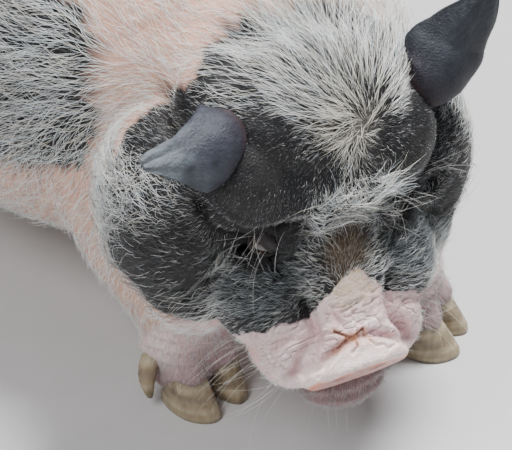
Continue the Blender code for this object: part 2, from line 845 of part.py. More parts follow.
def wedge(planes, grow, name, collection):
    """The solid below all the planes of (point, way out), each moved out by grow."""
    bm = bmesh.new()
    bmesh.ops.create_cube(bm, size=2 * REACH)
    for at, out in planes:
        out = Vector(out).normalized()
        everything = bm.verts[:] + bm.edges[:] + bm.faces[:]
        cut = bmesh.ops.bisect_plane(
            bm, geom=everything, plane_co=Vector(at) + out * grow, plane_no=out, clear_outer=True
        )
        rim = [e for e in cut["geom_cut"] if isinstance(e, bmesh.types.BMEdge)]
        bmesh.ops.contextual_create(bm, geom=rim)
    return object_of(bm, name, collection)


def leg_cutter(name, grow, collection):
    side = 1 if "left" in name else -1
    foot_y = FEET[name][0].y
    lean = math.radians(33)
    planes = [((side * 0.020, 0, 0), (-side, 0, 0))]
    if "fore" in name:
        planes.append(((side * 0.045, 0, 0.094), (-side * math.sin(lean), 0, math.cos(lean))))
        planes.append(((0, foot_y - 0.020, 0.130), (0, -0.64, 0.77)))
        planes.append(((0, -0.105, 0.120), (0, 0.94, 0.34)))
    else:
        planes.append(((side * 0.045, 0, 0.104), (-side * math.sin(lean), 0, math.cos(lean))))
        planes.append(((0, 0.250, 0.120), (0, -0.96, 0.28)))
    return wedge(planes, grow, f"cut_{name}", collection)


def flesh(collection):
    """The whole pig's flesh, without ears, claws and tail."""
    bm = bmesh.new()
    torso_forms(bm)
    neck_forms(bm)
    for name in FEET:
        leg_forms(bm, name)
    body = fuse(object_of(bm, "flesh", collection), BODY_VOXEL, BODY_SMOOTHING)
    bm = bmesh.new()
    bm.from_mesh(body.data)
    head_forms(bm)
    brow_forms(bm)
    muzzle_forms(bm)
    whole = object_of(bm, "whole", collection)
    bpy.data.objects.remove(body)
    fuse(whole, HEAD_VOXEL, HEAD_SMOOTHING)
    return thin_out(whole, FLESH_TRIANGLES)


def part_flesh(whole, pig, cutters):
    """Parts the flesh into head, neck, torso and legs with thin cuts."""
    far = (REACH * 2, REACH, REACH * 2)
    ahead = slab((-REACH, -REACH, -REACH), far, HEAD_CUT, "ahead_of_head_cut", cutters)
    head_side = slab((-REACH, -REACH - GAP, -REACH), (far[0], REACH + 2 * GAP, far[2]), HEAD_CUT, "head_side", cutters)
    neck_side = slab((-REACH, -REACH, -REACH), far, NECK_CUT, "neck_side", cutters)
    behind = slab((-REACH, GAP, -REACH), far, NECK_CUT, "behind_neck_cut", cutters)
    parts = {}
    for name in FEET:
        leg = copy_of(whole, f"leg_{name}", pig)
        boolean(leg, leg_cutter(name, 0.0, cutters), "INTERSECT")
        parts[leg.name] = leg
    rest = whole
    for name in FEET:
        boolean(rest, leg_cutter(name, GAP, cutters), "DIFFERENCE")
    parts["head"] = boolean(copy_of(rest, "head", pig), ahead, "INTERSECT")
    neck = boolean(copy_of(rest, "neck", pig), head_side, "DIFFERENCE")
    parts["neck"] = boolean(neck, neck_side, "INTERSECT")
    parts["torso"] = boolean(copy_of(rest, "torso", pig), behind, "INTERSECT")
    bpy.data.objects.remove(rest)
    return parts


def dress_head(head, pig, cutters):
    boolean(head, snout_disc(cutters), "UNION")
    for cutter in nostril_cutters(cutters):
        boolean(head, cutter, "DIFFERENCE")
    boolean(head, mouth_cutter(cutters), "DIFFERENCE")
    for side, label in ((1, "left"), (-1, "right")):
        cut = EAR_CUTS[label]
        boolean(head, ear(side, EAR_START, cut, f"ear_root_{label}", cutters), "UNION", "MANIFOLD")
        ear(side, cut + GAP / EAR_LENGTH, EAR_END, f"ear_{label}", pig)
        boolean(head, eyeball(side, EYE_RADIUS + LID_THICK, f"lids_{label}", cutters), "UNION")
        boolean(head, eyeball(side, EYE_RADIUS + GAP, f"socket_{label}", cutters), "DIFFERENCE")
        boolean(head, lid_opening(side, cutters), "DIFFERENCE")
        eyeball(side, EYE_RADIUS, f"eye_{label}", pig)
    keep_largest(head)


def dress_feet(parts, pig, cutters):
    for name in FEET:
        leg = parts[f"leg_{name}"]
        for side in (-1, 1):
            inner = (side > 0) != ("left" in name)
            label = f"{name}_{'inner' if inner else 'outer'}"
            boolean(leg, claw(name, side, HORN_GAP, f"claw_cut_{label}", cutters), "DIFFERENCE")
            boolean(leg, dewclaw(name, side, HORN_GAP, f"dewclaw_cut_{label}", cutters), "DIFFERENCE")
            claw(name, side, 0.0, f"claw_{label}", pig)
            dewclaw(name, side, 0.0, f"dewclaw_{label}", pig)
        keep_largest(leg)


def paint(pig):
    """Each node's own material."""
    looks = {
        "head": ((0.07, 0.07, 0.08), 0.75),
        "neck": ((0.78, 0.60, 0.55), 0.70),
        "torso": ((0.20, 0.20, 0.21), 0.75),
        "leg": ((0.75, 0.60, 0.52), 0.70),
        "tail": ((0.12, 0.12, 0.12), 0.75),
        "ear": ((0.16, 0.17, 0.20), 0.70),
        "eye": ((0.04, 0.02, 0.01), 0.10),
        "claw": ((0.50, 0.42, 0.30), 0.50),
        "dewclaw": ((0.52, 0.44, 0.32), 0.55),
    }
    for obj in pig.objects:
        colour, roughness = looks[obj.name.split("_")[0]]
        obj.data.materials.clear()
        obj.data.materials.append(material(obj.name, colour, roughness))
        obj.data.shade_smooth()


def stand_at_origin(pig):
    """Moves every node so that the middle of the pig's box is over the origin and its soles are at Z = 0."""
    spots = [v.co for obj in pig.objects for v in obj.data.vertices]
    low = [min(p[k] for p in spots) for k in range(3)]
    high = [max(p[k] for p in spots) for k in range(3)]
    shift = Vector((-(low[0] + high[0]) / 2, -(low[1] + high[1]) / 2, -low[2]))
    for obj in pig.objects:
        obj.data.transform(Matrix.Translation(shift))


def main():
    clear_scene()
    pig = new_collection("pot_bellied_pig")
    cutters = new_collection("cutters")
    parts = part_flesh(flesh(cutters), pig, cutters)
    dress_head(parts["head"], pig, cutters)
    dress_feet(parts, pig, cutters)
    boolean(parts["torso"], tail_piece(-0.06, TAIL_STUMP, "tail_stump", cutters), "UNION")
    parts["tail"] = tail_piece(TAIL_STUMP + GAP / TAIL_LENGTH, 1.0, "tail", pig)
    keep_largest(parts["torso"])
    dress_coat(parts, pig)
    stand_at_origin(pig)
    paint(pig)
    for obj in cutters.objects:
        obj.hide_render = True
        obj.display_type = "WIRE"


main()
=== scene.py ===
"""Looks of a spotted pot bellied pig: one skin with its folds, its coat, eyes and horn, on a pale floor."""

import math

import bmesh
import bpy
import numpy as np
from mathutils import Matrix, Vector
from mathutils.bvhtree import BVHTree


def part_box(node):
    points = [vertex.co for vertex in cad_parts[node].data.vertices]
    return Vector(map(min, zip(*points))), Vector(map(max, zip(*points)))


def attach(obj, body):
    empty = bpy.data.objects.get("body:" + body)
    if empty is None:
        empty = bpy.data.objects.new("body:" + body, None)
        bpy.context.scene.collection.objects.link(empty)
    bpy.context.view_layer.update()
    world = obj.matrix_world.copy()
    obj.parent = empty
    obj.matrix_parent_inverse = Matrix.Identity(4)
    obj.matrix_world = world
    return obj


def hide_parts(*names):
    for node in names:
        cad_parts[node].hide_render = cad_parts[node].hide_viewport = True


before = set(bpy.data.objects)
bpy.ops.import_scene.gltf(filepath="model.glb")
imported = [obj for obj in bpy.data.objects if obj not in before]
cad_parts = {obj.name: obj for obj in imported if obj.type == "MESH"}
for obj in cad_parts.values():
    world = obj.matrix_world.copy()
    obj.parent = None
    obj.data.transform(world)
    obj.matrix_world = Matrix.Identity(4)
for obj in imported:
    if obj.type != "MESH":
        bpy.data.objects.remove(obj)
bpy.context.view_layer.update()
rng = np.random.default_rng(21)

# Pose and sizes, shared with the solids
SKULL_BASE = Vector((-0.0348, -0.2352, 0.2733))
HEAD_DOWN = math.radians(45)
HEAD_ASIDE = math.radians(-16.4)
EAR_LENGTH = 0.104
EAR_THICK = 0.0048
EYE_RADIUS = 0.012
EYE_AT = (0.102, 0.054, 0.0765)
EYE_LOOKS = (0.48, 0.8, 0.36)
LID_OPEN = (0.0108, 0.005)
SOCKET_EDGE = math.radians(104)
SOCKET_REACH = 0.04
DISC_AT = (0.2215, 0.0, 0.0345)
DISC_HALF = (0.04, 0.032)
DISC_TILT = math.radians(8)
NOSTRIL_HALF = (0.0072, 0.0095)
NOSTRIL_ASIDE = 0.0155
CLAW_LENGTH = 0.066
CLAW_WIDTH = 0.0325
CLAW_HEIGHT = 0.038
CLAW_ASIDE = 0.0195
CLAW_TIP = -0.56 * CLAW_LENGTH
# a main claw from its sole up: height, share of its width, front and back edge
CLAW_ROWS = np.array([
    (0.0, 1.0, CLAW_TIP, 0.0235), (0.006, 1.0, CLAW_TIP + 0.001, 0.0235),
    (0.018, 0.96, CLAW_TIP + 0.008, 0.019), (0.029, 0.9, CLAW_TIP + 0.016, 0.011),
    (CLAW_HEIGHT, 0.76, CLAW_TIP + 0.022, 0.004),
])
FEET = {
    "fore_left": (Vector((0.096, -0.31, 0)), math.radians(31), 1.0),
    "fore_right": (Vector((-0.098, -0.233, 0)), math.radians(4.5), 1.0),
    "hind_left": (Vector((0.104, 0.3, 0)), math.radians(8), 0.94),
    "hind_right": (Vector((-0.104, 0.34, 0)), math.radians(-8), 0.94),
}
SHOULDER_Y = -0.165
HIP_Y = 0.3
TAIL_ROOT = Vector((0.0, 0.43, 0.345))
TAIL_LENGTH = 0.17
TAIL_THICK = 0.013
SIDES = {1: "left", -1: "right"}

# Fineness of the skin
BODY_VOXEL = 0.0045
SKIN_VOXEL = 0.0026
BODY_FACES = 0.3
SKIN_LOWEST = 0.0012
UNWRAP_FACES = 6000


def head_matrix():
    level = Matrix(((0, 1, 0), (-1, 0, 0), (0, 0, 1)))
    turned = Matrix.Rotation(HEAD_ASIDE, 3, "Z") @ level @ Matrix.Rotation(HEAD_DOWN, 3, "Y")
    return Matrix.Translation(SKULL_BASE) @ turned.to_4x4()


HEAD = head_matrix()
BODY = Matrix.Identity(4)
eye_low, eye_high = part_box("eye_left")
SHIFT = (eye_low + eye_high) / 2 - HEAD @ Vector(EYE_AT)


def into(frame_of, points):
    """An array of points in a frame."""
    m = np.array(frame_of.inverted())
    return points @ m[:3, :3].T + m[:3, 3]


def out_of(frame_of, points):
    m = np.array(frame_of)
    return points @ m[:3, :3].T + m[:3, 3]


def turn_out_of(frame_of, ways):
    return ways @ np.array(frame_of.to_3x3()).T


def unit(ways):
    return ways / np.maximum(np.linalg.norm(ways, axis=-1, keepdims=True), 1e-9)


def distance(points, at, half=1.0):
    """Distance from a spot, in half sizes of an oval where these are given."""
    return np.linalg.norm((points - np.array(at)) / np.array(half), axis=1)


def bell(value, wide):
    return np.exp(-((value / wide) ** 2))


def fuller(value, power):
    """A sine or cosine bent to a fuller oval."""
    return math.copysign(abs(value) ** power, value)


def turns(sides):
    """Cosine and sine of even steps of a full turn."""
    angles = [2 * math.pi * k / sides for k in range(sides)]
    return [(math.cos(angle), math.sin(angle)) for angle in angles]


def folded(head):
    """Points of both sides of the head laid on its left side."""
    return np.stack([head[:, 0], abs(head[:, 1]), head[:, 2]], axis=1)


def plain(colour, count):
    """One colour for every point."""
    return np.tile(np.array(colour), (count, 1))


def blend(base, colour, share):
    return base * (1 - share[:, None]) + np.array(colour) * share[:, None]


def layered(colour, *layers):
    """Blends colours over each other, each by its share."""
    for over, share in layers:
        colour = blend(colour, over, share)
    return colour


def ramp(value, low, high):
    share = np.clip((value - low) / (high - low), 0, 1)
    return share * share * (3 - 2 * share)


def noise(points, size, seed=0):
    """Smooth random values from -1 to 1 that change over about size."""
    q = points / size + 13.7 * (seed + 1)
    cell = np.floor(q).astype(np.int64)
    f = q - cell
    f = f * f * (3 - 2 * f)
    total = np.zeros(len(points))
    for corner in range(8):
        step = np.array([corner & 1, (corner >> 1) & 1, (corner >> 2) & 1])
        c = cell + step
        h = (c[:, 0] * 73856093) ^ (c[:, 1] * 19349663) ^ (c[:, 2] * 83492791) ^ (seed * 7919)
        h = ((h ^ (h >> 13)) * 1274126177) & 0x7FFFFFFF
        weight = np.prod(np.where(step == 1, f, 1 - f), axis=1)
        total += (h % 10007) / 5003.0 * weight - weight
    return total


def reach(points, line):
    """Distance of each point from a line through a few spots."""
    best = np.full(len(points), 9.0)
    for a, b in zip(line, line[1:]):
        a, b = np.array(a), np.array(b)
        t = np.clip((points - a) @ (b - a) / ((b - a) @ (b - a)), 0, 1)
        best = np.minimum(best, np.linalg.norm(points - a - t[:, None] * (b - a), axis=1))
    return best


# Mesh building blocks


def scene_object(name, data):
    obj = bpy.data.objects.new(name, data)
    bpy.context.scene.collection.objects.link(obj)
    return obj


def object_of(bm, name):
    bmesh.ops.recalc_face_normals(bm, faces=bm.faces)
    mesh = bpy.data.meshes.new(name)
    bm.to_mesh(mesh)
    bm.free()
    return scene_object(name, mesh)


def settle(obj):
    """Puts the result of the modifiers in their place."""
    graph = bpy.context.evaluated_depsgraph_get()
    mesh = bpy.data.meshes.new_from_object(obj.evaluated_get(graph))
    obj.modifiers.clear()
    obj.data = mesh
    return obj


def select_only(chosen, active):
    for other in bpy.context.selected_objects:
        other.select_set(False)
    for obj in chosen:
        obj.select_set(True)
    bpy.context.view_layer.objects.active = active


def lobe(bm, at, half, frame_of=BODY, turn=(0, 0, 0)):
    spin = Matrix.Rotation(math.radians(turn[2]), 4, "Z")
    spin = spin @ Matrix.Rotation(math.radians(turn[1]), 4, "Y")
    spin = spin @ Matrix.Rotation(math.radians(turn[0]), 4, "X")
    place = frame_of @ Matrix.Translation(at) @ spin @ Matrix.Diagonal((*half, 1))
    bmesh.ops.create_icosphere(bm, subdivisions=4, radius=1.0, matrix=place)


def lobes(bm, at, half, frame_of=BODY, turn=(0, 0, 0)):
    lobe(bm, at, half, frame_of, turn)
    across = 0 if frame_of is BODY else 1
    mirrored = list(at)
    mirrored[across] = -mirrored[across]
    turned = (turn[0], -turn[1], -turn[2]) if frame_of is BODY else (-turn[0], turn[1], -turn[2])
    lobe(bm, mirrored, half, frame_of, turned)


def bridge(bm, rings):
    bm.faces.new(rings[0])
    bm.faces.new(rings[-1])
    for low, high in zip(rings, rings[1:]):
        for k, vert in enumerate(low):
            after = (k + 1) % len(low)
            bm.faces.new((vert, low[after], high[after], high[k]))


def oval_ring(bm, centre, side, up, half_side, half_up, power=2.0, sides=40):
    verts = []
    for c, s in turns(sides):
        across, raised = half_side * fuller(c, 2 / power), half_up * fuller(s, 2 / power)
        verts.append(bm.verts.new(centre + side * across + up * raised))
    return verts


def tube(bm, stations, frame_of=BODY, side=(1, 0, 0), power=2.0, sides=36):
    centres = [frame_of @ Vector(s[0]) for s in stations]
    across = (frame_of.to_3x3() @ Vector(side)).normalized()
    rings = []
    for k, (_, wide, deep) in enumerate(stations):
        ahead = centres[min(k + 1, len(centres) - 1)] - centres[max(k - 1, 0)]
        up = ahead.cross(across).normalized()
        rings.append(oval_ring(bm, centres[k], up.cross(ahead).normalized(), up, wide, deep, power, sides))
    bridge(bm, rings)


def fuse(obj, voxel, smoothing):
    """One closed skin round all the forms in the object."""
    remesh = obj.modifiers.new("fuse", "REMESH")
    remesh.mode = "VOXEL"
    remesh.voxel_size = voxel
    smooth = obj.modifiers.new("soften", "SMOOTH")
    smooth.factor = 0.5
    smooth.iterations = smoothing
    return settle(obj)


def set_points(mesh, points):
    mesh.vertices.foreach_set("co", np.ascontiguousarray(points, np.float32).ravel())


def mesh_object(name, points, faces):
    """A mesh object from arrays of points and of faces with the same number of corners."""
    per_face = faces.shape[1]
    mesh = bpy.data.meshes.new(name)
    mesh.vertices.add(len(points))
    set_points(mesh, points)
    mesh.loops.add(len(faces) * per_face)
    mesh.loops.foreach_set("vertex_index", np.ascontiguousarray(faces, np.int32).ravel())
    mesh.polygons.add(len(faces))
    mesh.polygons.foreach_set("loop_start", np.arange(len(faces), dtype=np.int32) * per_face)
    mesh.update(calc_edges=True)
    mesh.shade_smooth()
    return scene_object(name, mesh)


def grid_faces(rows, around):
    """Faces between the rows of points that run round a form."""
    faces = []
    for j in range(rows - 1):
        for k in range(around):
            a, b = j * around + k, j * around + (k + 1) % around
            faces.append((a, b, b + around, a + around))
    return np.array(faces)


def close_ends(obj):
    bm = bmesh.new()
    bm.from_mesh(obj.data)
    bmesh.ops.holes_fill(bm, edges=[e for e in bm.edges if e.is_boundary], sides=0)
    bmesh.ops.recalc_face_normals(bm, faces=bm.faces)
    bm.to_mesh(obj.data)
    bm.free()
    return obj


def read(items, field, kind=np.float32, width=3):
    """Values of all vertices, triangles or corners as rows of an array."""
    values = np.empty(len(items) * width, kind)
    items.foreach_get(field, values)
    return values.reshape(-1, width)


def points_of(mesh):
    return read(mesh.vertices, "co").astype(float)


def normals_of(mesh):
    return read(mesh.vertex_normals, "vector").astype(float)


def set_tint(mesh, colours, name="tint"):
    """A colour on every vertex."""
    layer = mesh.color_attributes.new(name, "FLOAT_COLOR", "POINT")
    rgba = np.ones((len(colours), 4), np.float32)
    rgba[:, :3] = colours
    layer.data.foreach_set("color", rgba.ravel())


# Forms of the body


def torso_forms(bm):
    sections = [
        (-0.31, 0.33, 0.2, 0.07), (-0.275, 0.378, 0.15, 0.105), (-0.215, 0.41, 0.114, 0.134),
        (-0.145, 0.428, 0.088, 0.159), (-0.085, 0.43, 0.062, 0.179), (0.015, 0.42, 0.042, 0.2),
        (0.115, 0.411, 0.04, 0.204), (0.205, 0.412, 0.056, 0.194), (0.275, 0.414, 0.096, 0.171),
        (0.335, 0.408, 0.16, 0.14), (0.385, 0.388, 0.215, 0.11), (0.42, 0.358, 0.265, 0.072),
        (0.435, 0.338, 0.29, 0.035),
    ]
    rings = []
    for y, top, bottom, wide in sections:
        centre = Vector((0, y, (top + bottom) / 2))
        deep = (top - bottom) / 2
        rings.append(oval_ring(bm, centre, Vector((1, 0, 0)), Vector((0, 0, 1)), wide, deep, 2.25, 48))
    bridge(bm, rings)
    lobes(bm, (0.094, -0.165, 0.245), (0.058, 0.085, 0.125), turn=(12, -6, 0))
    lobes(bm, (0.1, 0.3, 0.25), (0.066, 0.105, 0.135), turn=(-10, -6, 0))
    lobe(bm, (0, -0.26, 0.215), (0.085, 0.075, 0.085))


def neck_forms(bm):
    stations = [
        ((0.0, -0.095, 0.275), 0.13, 0.145), ((-0.004, -0.17, 0.28), 0.132, 0.142),
        ((-0.018, -0.235, 0.278), 0.128, 0.126), ((-0.038, -0.29, 0.268), 0.115, 0.102),
        ((-0.054, -0.335, 0.252), 0.09, 0.072),
    ]
    tube(bm, stations, power=2.2)
    lobe(bm, (-0.02, -0.225, 0.358), (0.075, 0.105, 0.058), turn=(18, 0, 12))


def foot_frame(name):
    place, turn, size = FEET[name]
    return Matrix.Translation(place) @ Matrix.Rotation(turn, 4, "Z") @ Matrix.Scale(size, 4)


def claw_edges(rows, heights):
    """Share of the width, front and back of a main claw at each height."""
    return [np.interp(heights, rows[:, 0], rows[:, k]) for k in (1, 2, 3)]


def toe_forms(bm, name):
    foot = foot_frame(name)
    for side in (-1, 1):
        aside = side * CLAW_ASIDE
        stations = [
            ((side * 0.012, 0.022, 0.066), 0.019, 0.02),
            ((side * 0.016, 0.006, 0.046), 0.019, 0.02),
            ((aside, -0.006, 0.032), 0.0165, 0.018),
            ((aside, -0.012, 0.024), 0.015, 0.015),
        ]
        tube(bm, stations, foot, sides=20)
        lobe(bm, (aside, 0.02, 0.022), (0.0155, 0.02, 0.0155), foot)
        lobe(bm, (side * 0.028, 0.028, 0.058), (0.014, 0.014, 0.016), foot)


def leg_forms(bm, name):
    foot = foot_frame(name)
    side = 1 if "left" in name else -1
    across = foot.to_3x3() @ Vector((1, 0, 0))
    if "fore" in name:
        stride = foot.translation.y - SHOULDER_Y
        joints = [
            ((side * 0.092, SHOULDER_Y, 0.24), 0.056, 0.074),
            ((side * 0.107, SHOULDER_Y + 0.4 * stride + 0.04, 0.18), 0.056, 0.068),
            ((side * 0.106, SHOULDER_Y + 0.6 * stride + 0.038, 0.146), 0.052, 0.06),
            ((side * 0.104, SHOULDER_Y + 0.8 * stride + 0.032, 0.118), 0.046, 0.05),
        ]
        low = [
            ((0, 0.028, 0.092), 0.041, 0.041), ((0, 0.022, 0.07), 0.038, 0.035),
            ((0, 0.012, 0.05), 0.038, 0.03),
        ]
    else:
        stride = foot.translation.y - HIP_Y
        joints = [
            ((side * 0.104, HIP_Y, 0.245), 0.062, 0.09),
            ((side * 0.108, HIP_Y + 0.3 * stride, 0.185), 0.054, 0.074),
            ((side * 0.108, HIP_Y + 0.8 * stride + 0.04, 0.14), 0.038, 0.048),
        ]
        low = [
            ((0, 0.052, 0.112), 0.031, 0.04), ((0, 0.036, 0.08), 0.028, 0.031),
            ((0, 0.016, 0.052), 0.031, 0.026),
        ]
    stations = [(Vector(at), wide, deep) for at, wide, deep in joints]
    stations += [(foot @ Vector(at), wide, deep) for at, wide, deep in low]
    tube(bm, stations, side=across)
    toe_forms(bm, name)


def tail_point(share):
    y = 0.052 * math.sin(min(1.0, share * 1.9) * math.pi / 2) - 0.018 * max(0.0, share - 0.5)
    z = 0.012 * math.sin(math.pi * min(1.0, share * 2.6)) - TAIL_LENGTH * max(0.0, share) ** 1.25
    x = -0.03 * max(0.0, share - 0.25) ** 1.5
    return TAIL_ROOT + Vector((x, y, z))


def tail_forms(bm):
    rings = []
    steps = 40
    for k in range(steps + 1):
        share = -0.06 + 1.06 * k / steps
        ahead = (tail_point(share + 0.02) - tail_point(share - 0.02)).normalized()
        up = ahead.cross(Vector((1, 0, 0))).normalized()
        thick = TAIL_THICK * (1.0 - 0.62 * max(0.0, share) ** 0.8) + 0.0005
        rings.append(oval_ring(bm, tail_point(share), up.cross(ahead), up, thick, thick, 2.0, 20))
    bridge(bm, rings)


# Forms of the head, in its own frame


def head_forms(bm):
    lobe(bm, (0.038, 0, 0.075), (0.082, 0.09, 0.07), HEAD)
    lobe(bm, (0.022, 0, 0.118), (0.06, 0.076, 0.042), HEAD, (0, 10, 0))
    lobe(bm, (0.062, 0, 0.098), (0.052, 0.042, 0.036), HEAD, (0, 30, 0))
    lobes(bm, (0.052, 0.056, 0.1), (0.046, 0.044, 0.038), HEAD, (0, 28, -14))
    lobes(bm, (0.002, 0.056, 0.092), (0.05, 0.042, 0.044), HEAD)
    lobes(bm, (0.048, 0.101, 0.018), (0.082, 0.056, 0.076), HEAD, (0, 20, 8))
    lobes(bm, (0.1, 0.09, -0.006), (0.056, 0.045, 0.056), HEAD, (0, 20, 10))
    lobes(bm, (0.14, 0.052, 0.036), (0.046, 0.04, 0.036), HEAD, (0, 14, 8))
    lobes(bm, (0.02, 0.07, -0.02), (0.07, 0.055, 0.08), HEAD)
    lobe(bm, (0.06, 0, -0.03), (0.085, 0.075, 0.062), HEAD)
    lobes(bm, (0.107, 0.039, 0.082), (0.017, 0.015, 0.015), HEAD)


def muzzle_forms(bm):
    stations = [
        ((0.08, 0, 0.056), 0.062, 0.05), ((0.115, 0, 0.05), 0.056, 0.045),
        ((0.15, 0, 0.042), 0.052, 0.038), ((0.18, 0, 0.036), 0.047, 0.032),
        ((0.208, 0, 0.034), 0.04, 0.03),
    ]
    tube(bm, stations, HEAD, side=(0, 1, 0), power=2.2)
    lobes(bm, (0.176, 0.038, 0.021), (0.045, 0.036, 0.033), HEAD, (0, 8, 4))
    lobe(bm, (0.184, 0, 0.06), (0.01, 0.034, 0.009), HEAD)
    jaw = [
        ((0.06, 0, -0.04), 0.062, 0.04), ((0.11, 0, -0.032), 0.052, 0.032),
        ((0.15, 0, -0.027), 0.046, 0.025), ((0.185, 0, -0.023), 0.041, 0.021),
        ((0.215, 0, -0.021), 0.036, 0.018),
    ]
    tube(bm, jaw, HEAD, side=(0, 1, 0))
    lobe(bm, (0.219, 0.008, -0.0205), (0.03, 0.039, 0.0185), HEAD)


def disc_frame():
    return HEAD @ Matrix.Translation(DISC_AT) @ Matrix.Rotation(-DISC_TILT, 4, "Y")


def disc_form(bm):
    profile = [
        (-0.03, 0.8), (-0.015, 0.93), (-0.0075, 1.02), (0.0, 1.05), (0.003, 0.99), (0.0036, 0.9),
        (0.0018, 0.74),
    ]
    place = disc_frame()
    rings = []
    for ahead, share in profile:
        ring = []
        for c, s in turns(56):
            back = min(0.0, ahead) * 0.6 * max(0.0, s) ** 2
            y = DISC_HALF[0] * share * fuller(c, 0.87)
            z = DISC_HALF[1] * share * fuller(s, 0.87)
            ring.append(bm.verts.new(place @ Vector((ahead + back, y, z))))
        rings.append(ring)
    bridge(bm, rings)


# Ears


def ear_pose(side):
    if side > 0:
        return (0.03, 0.09, 0.11), (0.1, 0.6, 0.79), (-0.62, 0.52, 0.58), (0.8, -0.3, 0.6)
    return (0.02, -0.071, 0.126), (0.12, -0.5, 0.85), (0.07, -0.87, 0.36), (-0.1, 0.55, 1.0)


def ear_path(side, share):
    root, out, to_tip, facing = [Vector(v) for v in ear_pose(side)]
    out.normalize()
    to_tip.normalize()
    steps = 24
    at = root.copy()
    step = share / steps
    ahead = out
    for k in range(steps):
        bend = min(1.0, max(0.0, (k + 0.5) * step / 0.34))
        ahead = out.lerp(to_tip, bend * bend * (3 - 2 * bend)).normalized()
        at += ahead * EAR_LENGTH * step
    back = (facing - ahead * facing.dot(ahead)).normalized()
    return at, ahead, ahead.cross(back), back


def along(table, share):
    shares, values = zip(*table)
    return float(np.interp(share, shares, values))


EAR_ARC = [(-0.2, 0.07), (0, 0.088), (0.2, 0.103), (0.4, 0.087), (0.6, 0.056), (0.8, 0.03), (1, 0.009)]
EAR_SPREAD = [(-0.2, 2.0), (0, 2.0), (0.2, 1.65), (0.45, 1.1), (0.75, 0.8), (1, 0.6)]
EAR_SEAT = [(-0.2, 0.2), (0.5, 1.0)]
EAR_BROAD = [(0.3, 1.0), (0.6, 1.2), (0.8, 1.45), (1, 1.5)]
EAR_FRONT_EDGE = [(0, 1.0), (0.2, 0.68), (0.4, 0.5), (0.6, 0.45), (0.8, 0.6), (1, 1.0)]


def ear_shell(side, name):
    """An ear as a closed shell, its points' shares of the length and 1 for those on its back."""
    rows, steps = 64, 34
    points, shares, backs = [], [], []
    for j in range(rows + 1):
        share = -0.12 + 1.105 * (j / rows) ** 0.93
        at, _, across, back = ear_path(side, share)
        arc, spread = along(EAR_ARC, share), along(EAR_SPREAD, share)
        arc *= along(EAR_BROAD, share) if side > 0 else 1.0
        radius = arc / (2 * spread)
        seat = along(EAR_SEAT, share)
        front = along(EAR_FRONT_EDGE, share) if side < 0 else 1.0
        thick = (EAR_THICK * (1.0 - 0.45 * max(0.0, share))) * 0.92
        wave = 0.0016 * math.sin(share * 9.0) * max(0.0, share)
        outer, inner = [], []
        for k in range(steps + 1):
            turn = 2 * k / steps - 1
            angle = spread * turn * (front if turn > 0 else 1.0)
            lip = 1.0 - 0.62 * abs(turn) ** 6
            ripple = wave * abs(turn) ** 2 + 0.0007 * math.sin(turn * 7 + share * 5) * min(1.0, share * 3)
            far = radius - 0.0003 + ripple
            for ring, r in ((outer, far), (inner, far - thick * lip)):
                spot = at + across * r * math.sin(angle) + back * (r * math.cos(angle) - radius * seat)
                ring.append((HEAD @ spot)[:])
        points += outer + inner[::-1]
        shares += [share] * (2 * steps + 2)
        backs += [1.0] * (steps + 1) + [0.0] * (steps + 1)
    obj = mesh_object(name, np.array(points), grid_faces(rows + 1, 2 * steps + 2))
    return close_ends(obj), np.array(shares), np.array(backs)


# Eyes and lids


def eye_frame(side):
    """Z out of the pupil, X along the slit of the lids to the snout."""
    z = Vector((EYE_LOOKS[0], side * EYE_LOOKS[1], EYE_LOOKS[2])).normalized()
    ahead = Vector((1.0, 0, 0.1))
    x = (ahead - z * ahead.dot(z)).normalized()
    y = z.cross(x)
    turned = Matrix((x, y, z)).transposed().to_4x4()
    return HEAD @ Matrix.Translation((EYE_AT[0], side * EYE_AT[1], EYE_AT[2])) @ turned


def from_eye(points, side):
    return distance(points, eye_frame(side).translation)


def slit_angle(theta):
    """How far from the pupil the edge of the lids is, as an angle at the eye's middle."""
    r = 1 / np.sqrt((np.cos(theta) / LID_OPEN[0]) ** 2 + (np.sin(theta) / LID_OPEN[1]) ** 2)
    return np.arcsin(np.clip(r / EYE_RADIUS, 0, 0.999))


def lid_shell(side, name):
    """Both lids as one rounded ring on the eyeball, its outer edge sunk in the skin."""
    around = 72
    # share of the way from the slit to the edge of the socket, and height over the eyeball
    profile = [
        (0.0, -0.0008), (-0.01, 0.0004), (0.01, 0.0014), (0.05, 0.0019), (0.12, 0.0021), (0.2, 0.0014),
        (0.26, 0.0017), (0.36, 0.0027), (0.55, 0.003), (0.8, 0.002), (1.0, -0.001),
    ]
    theta = np.linspace(0, 2 * math.pi, around, endpoint=False)
    edge = slit_angle(theta)
    points = []
    for share, height in profile:
        phi = edge + (SOCKET_EDGE - edge) * share
        r = EYE_RADIUS + height + 0.0004 * np.sin(theta * 3 + share * 9) * (share > 0.05)
        aside = r * np.sin(phi)
        points.append(np.stack([aside * np.cos(theta), aside * np.sin(theta), r * np.cos(phi)], axis=1))
    points = out_of(eye_frame(side), np.concatenate(points))
    return mesh_object(name, points, grid_faces(len(profile), around))


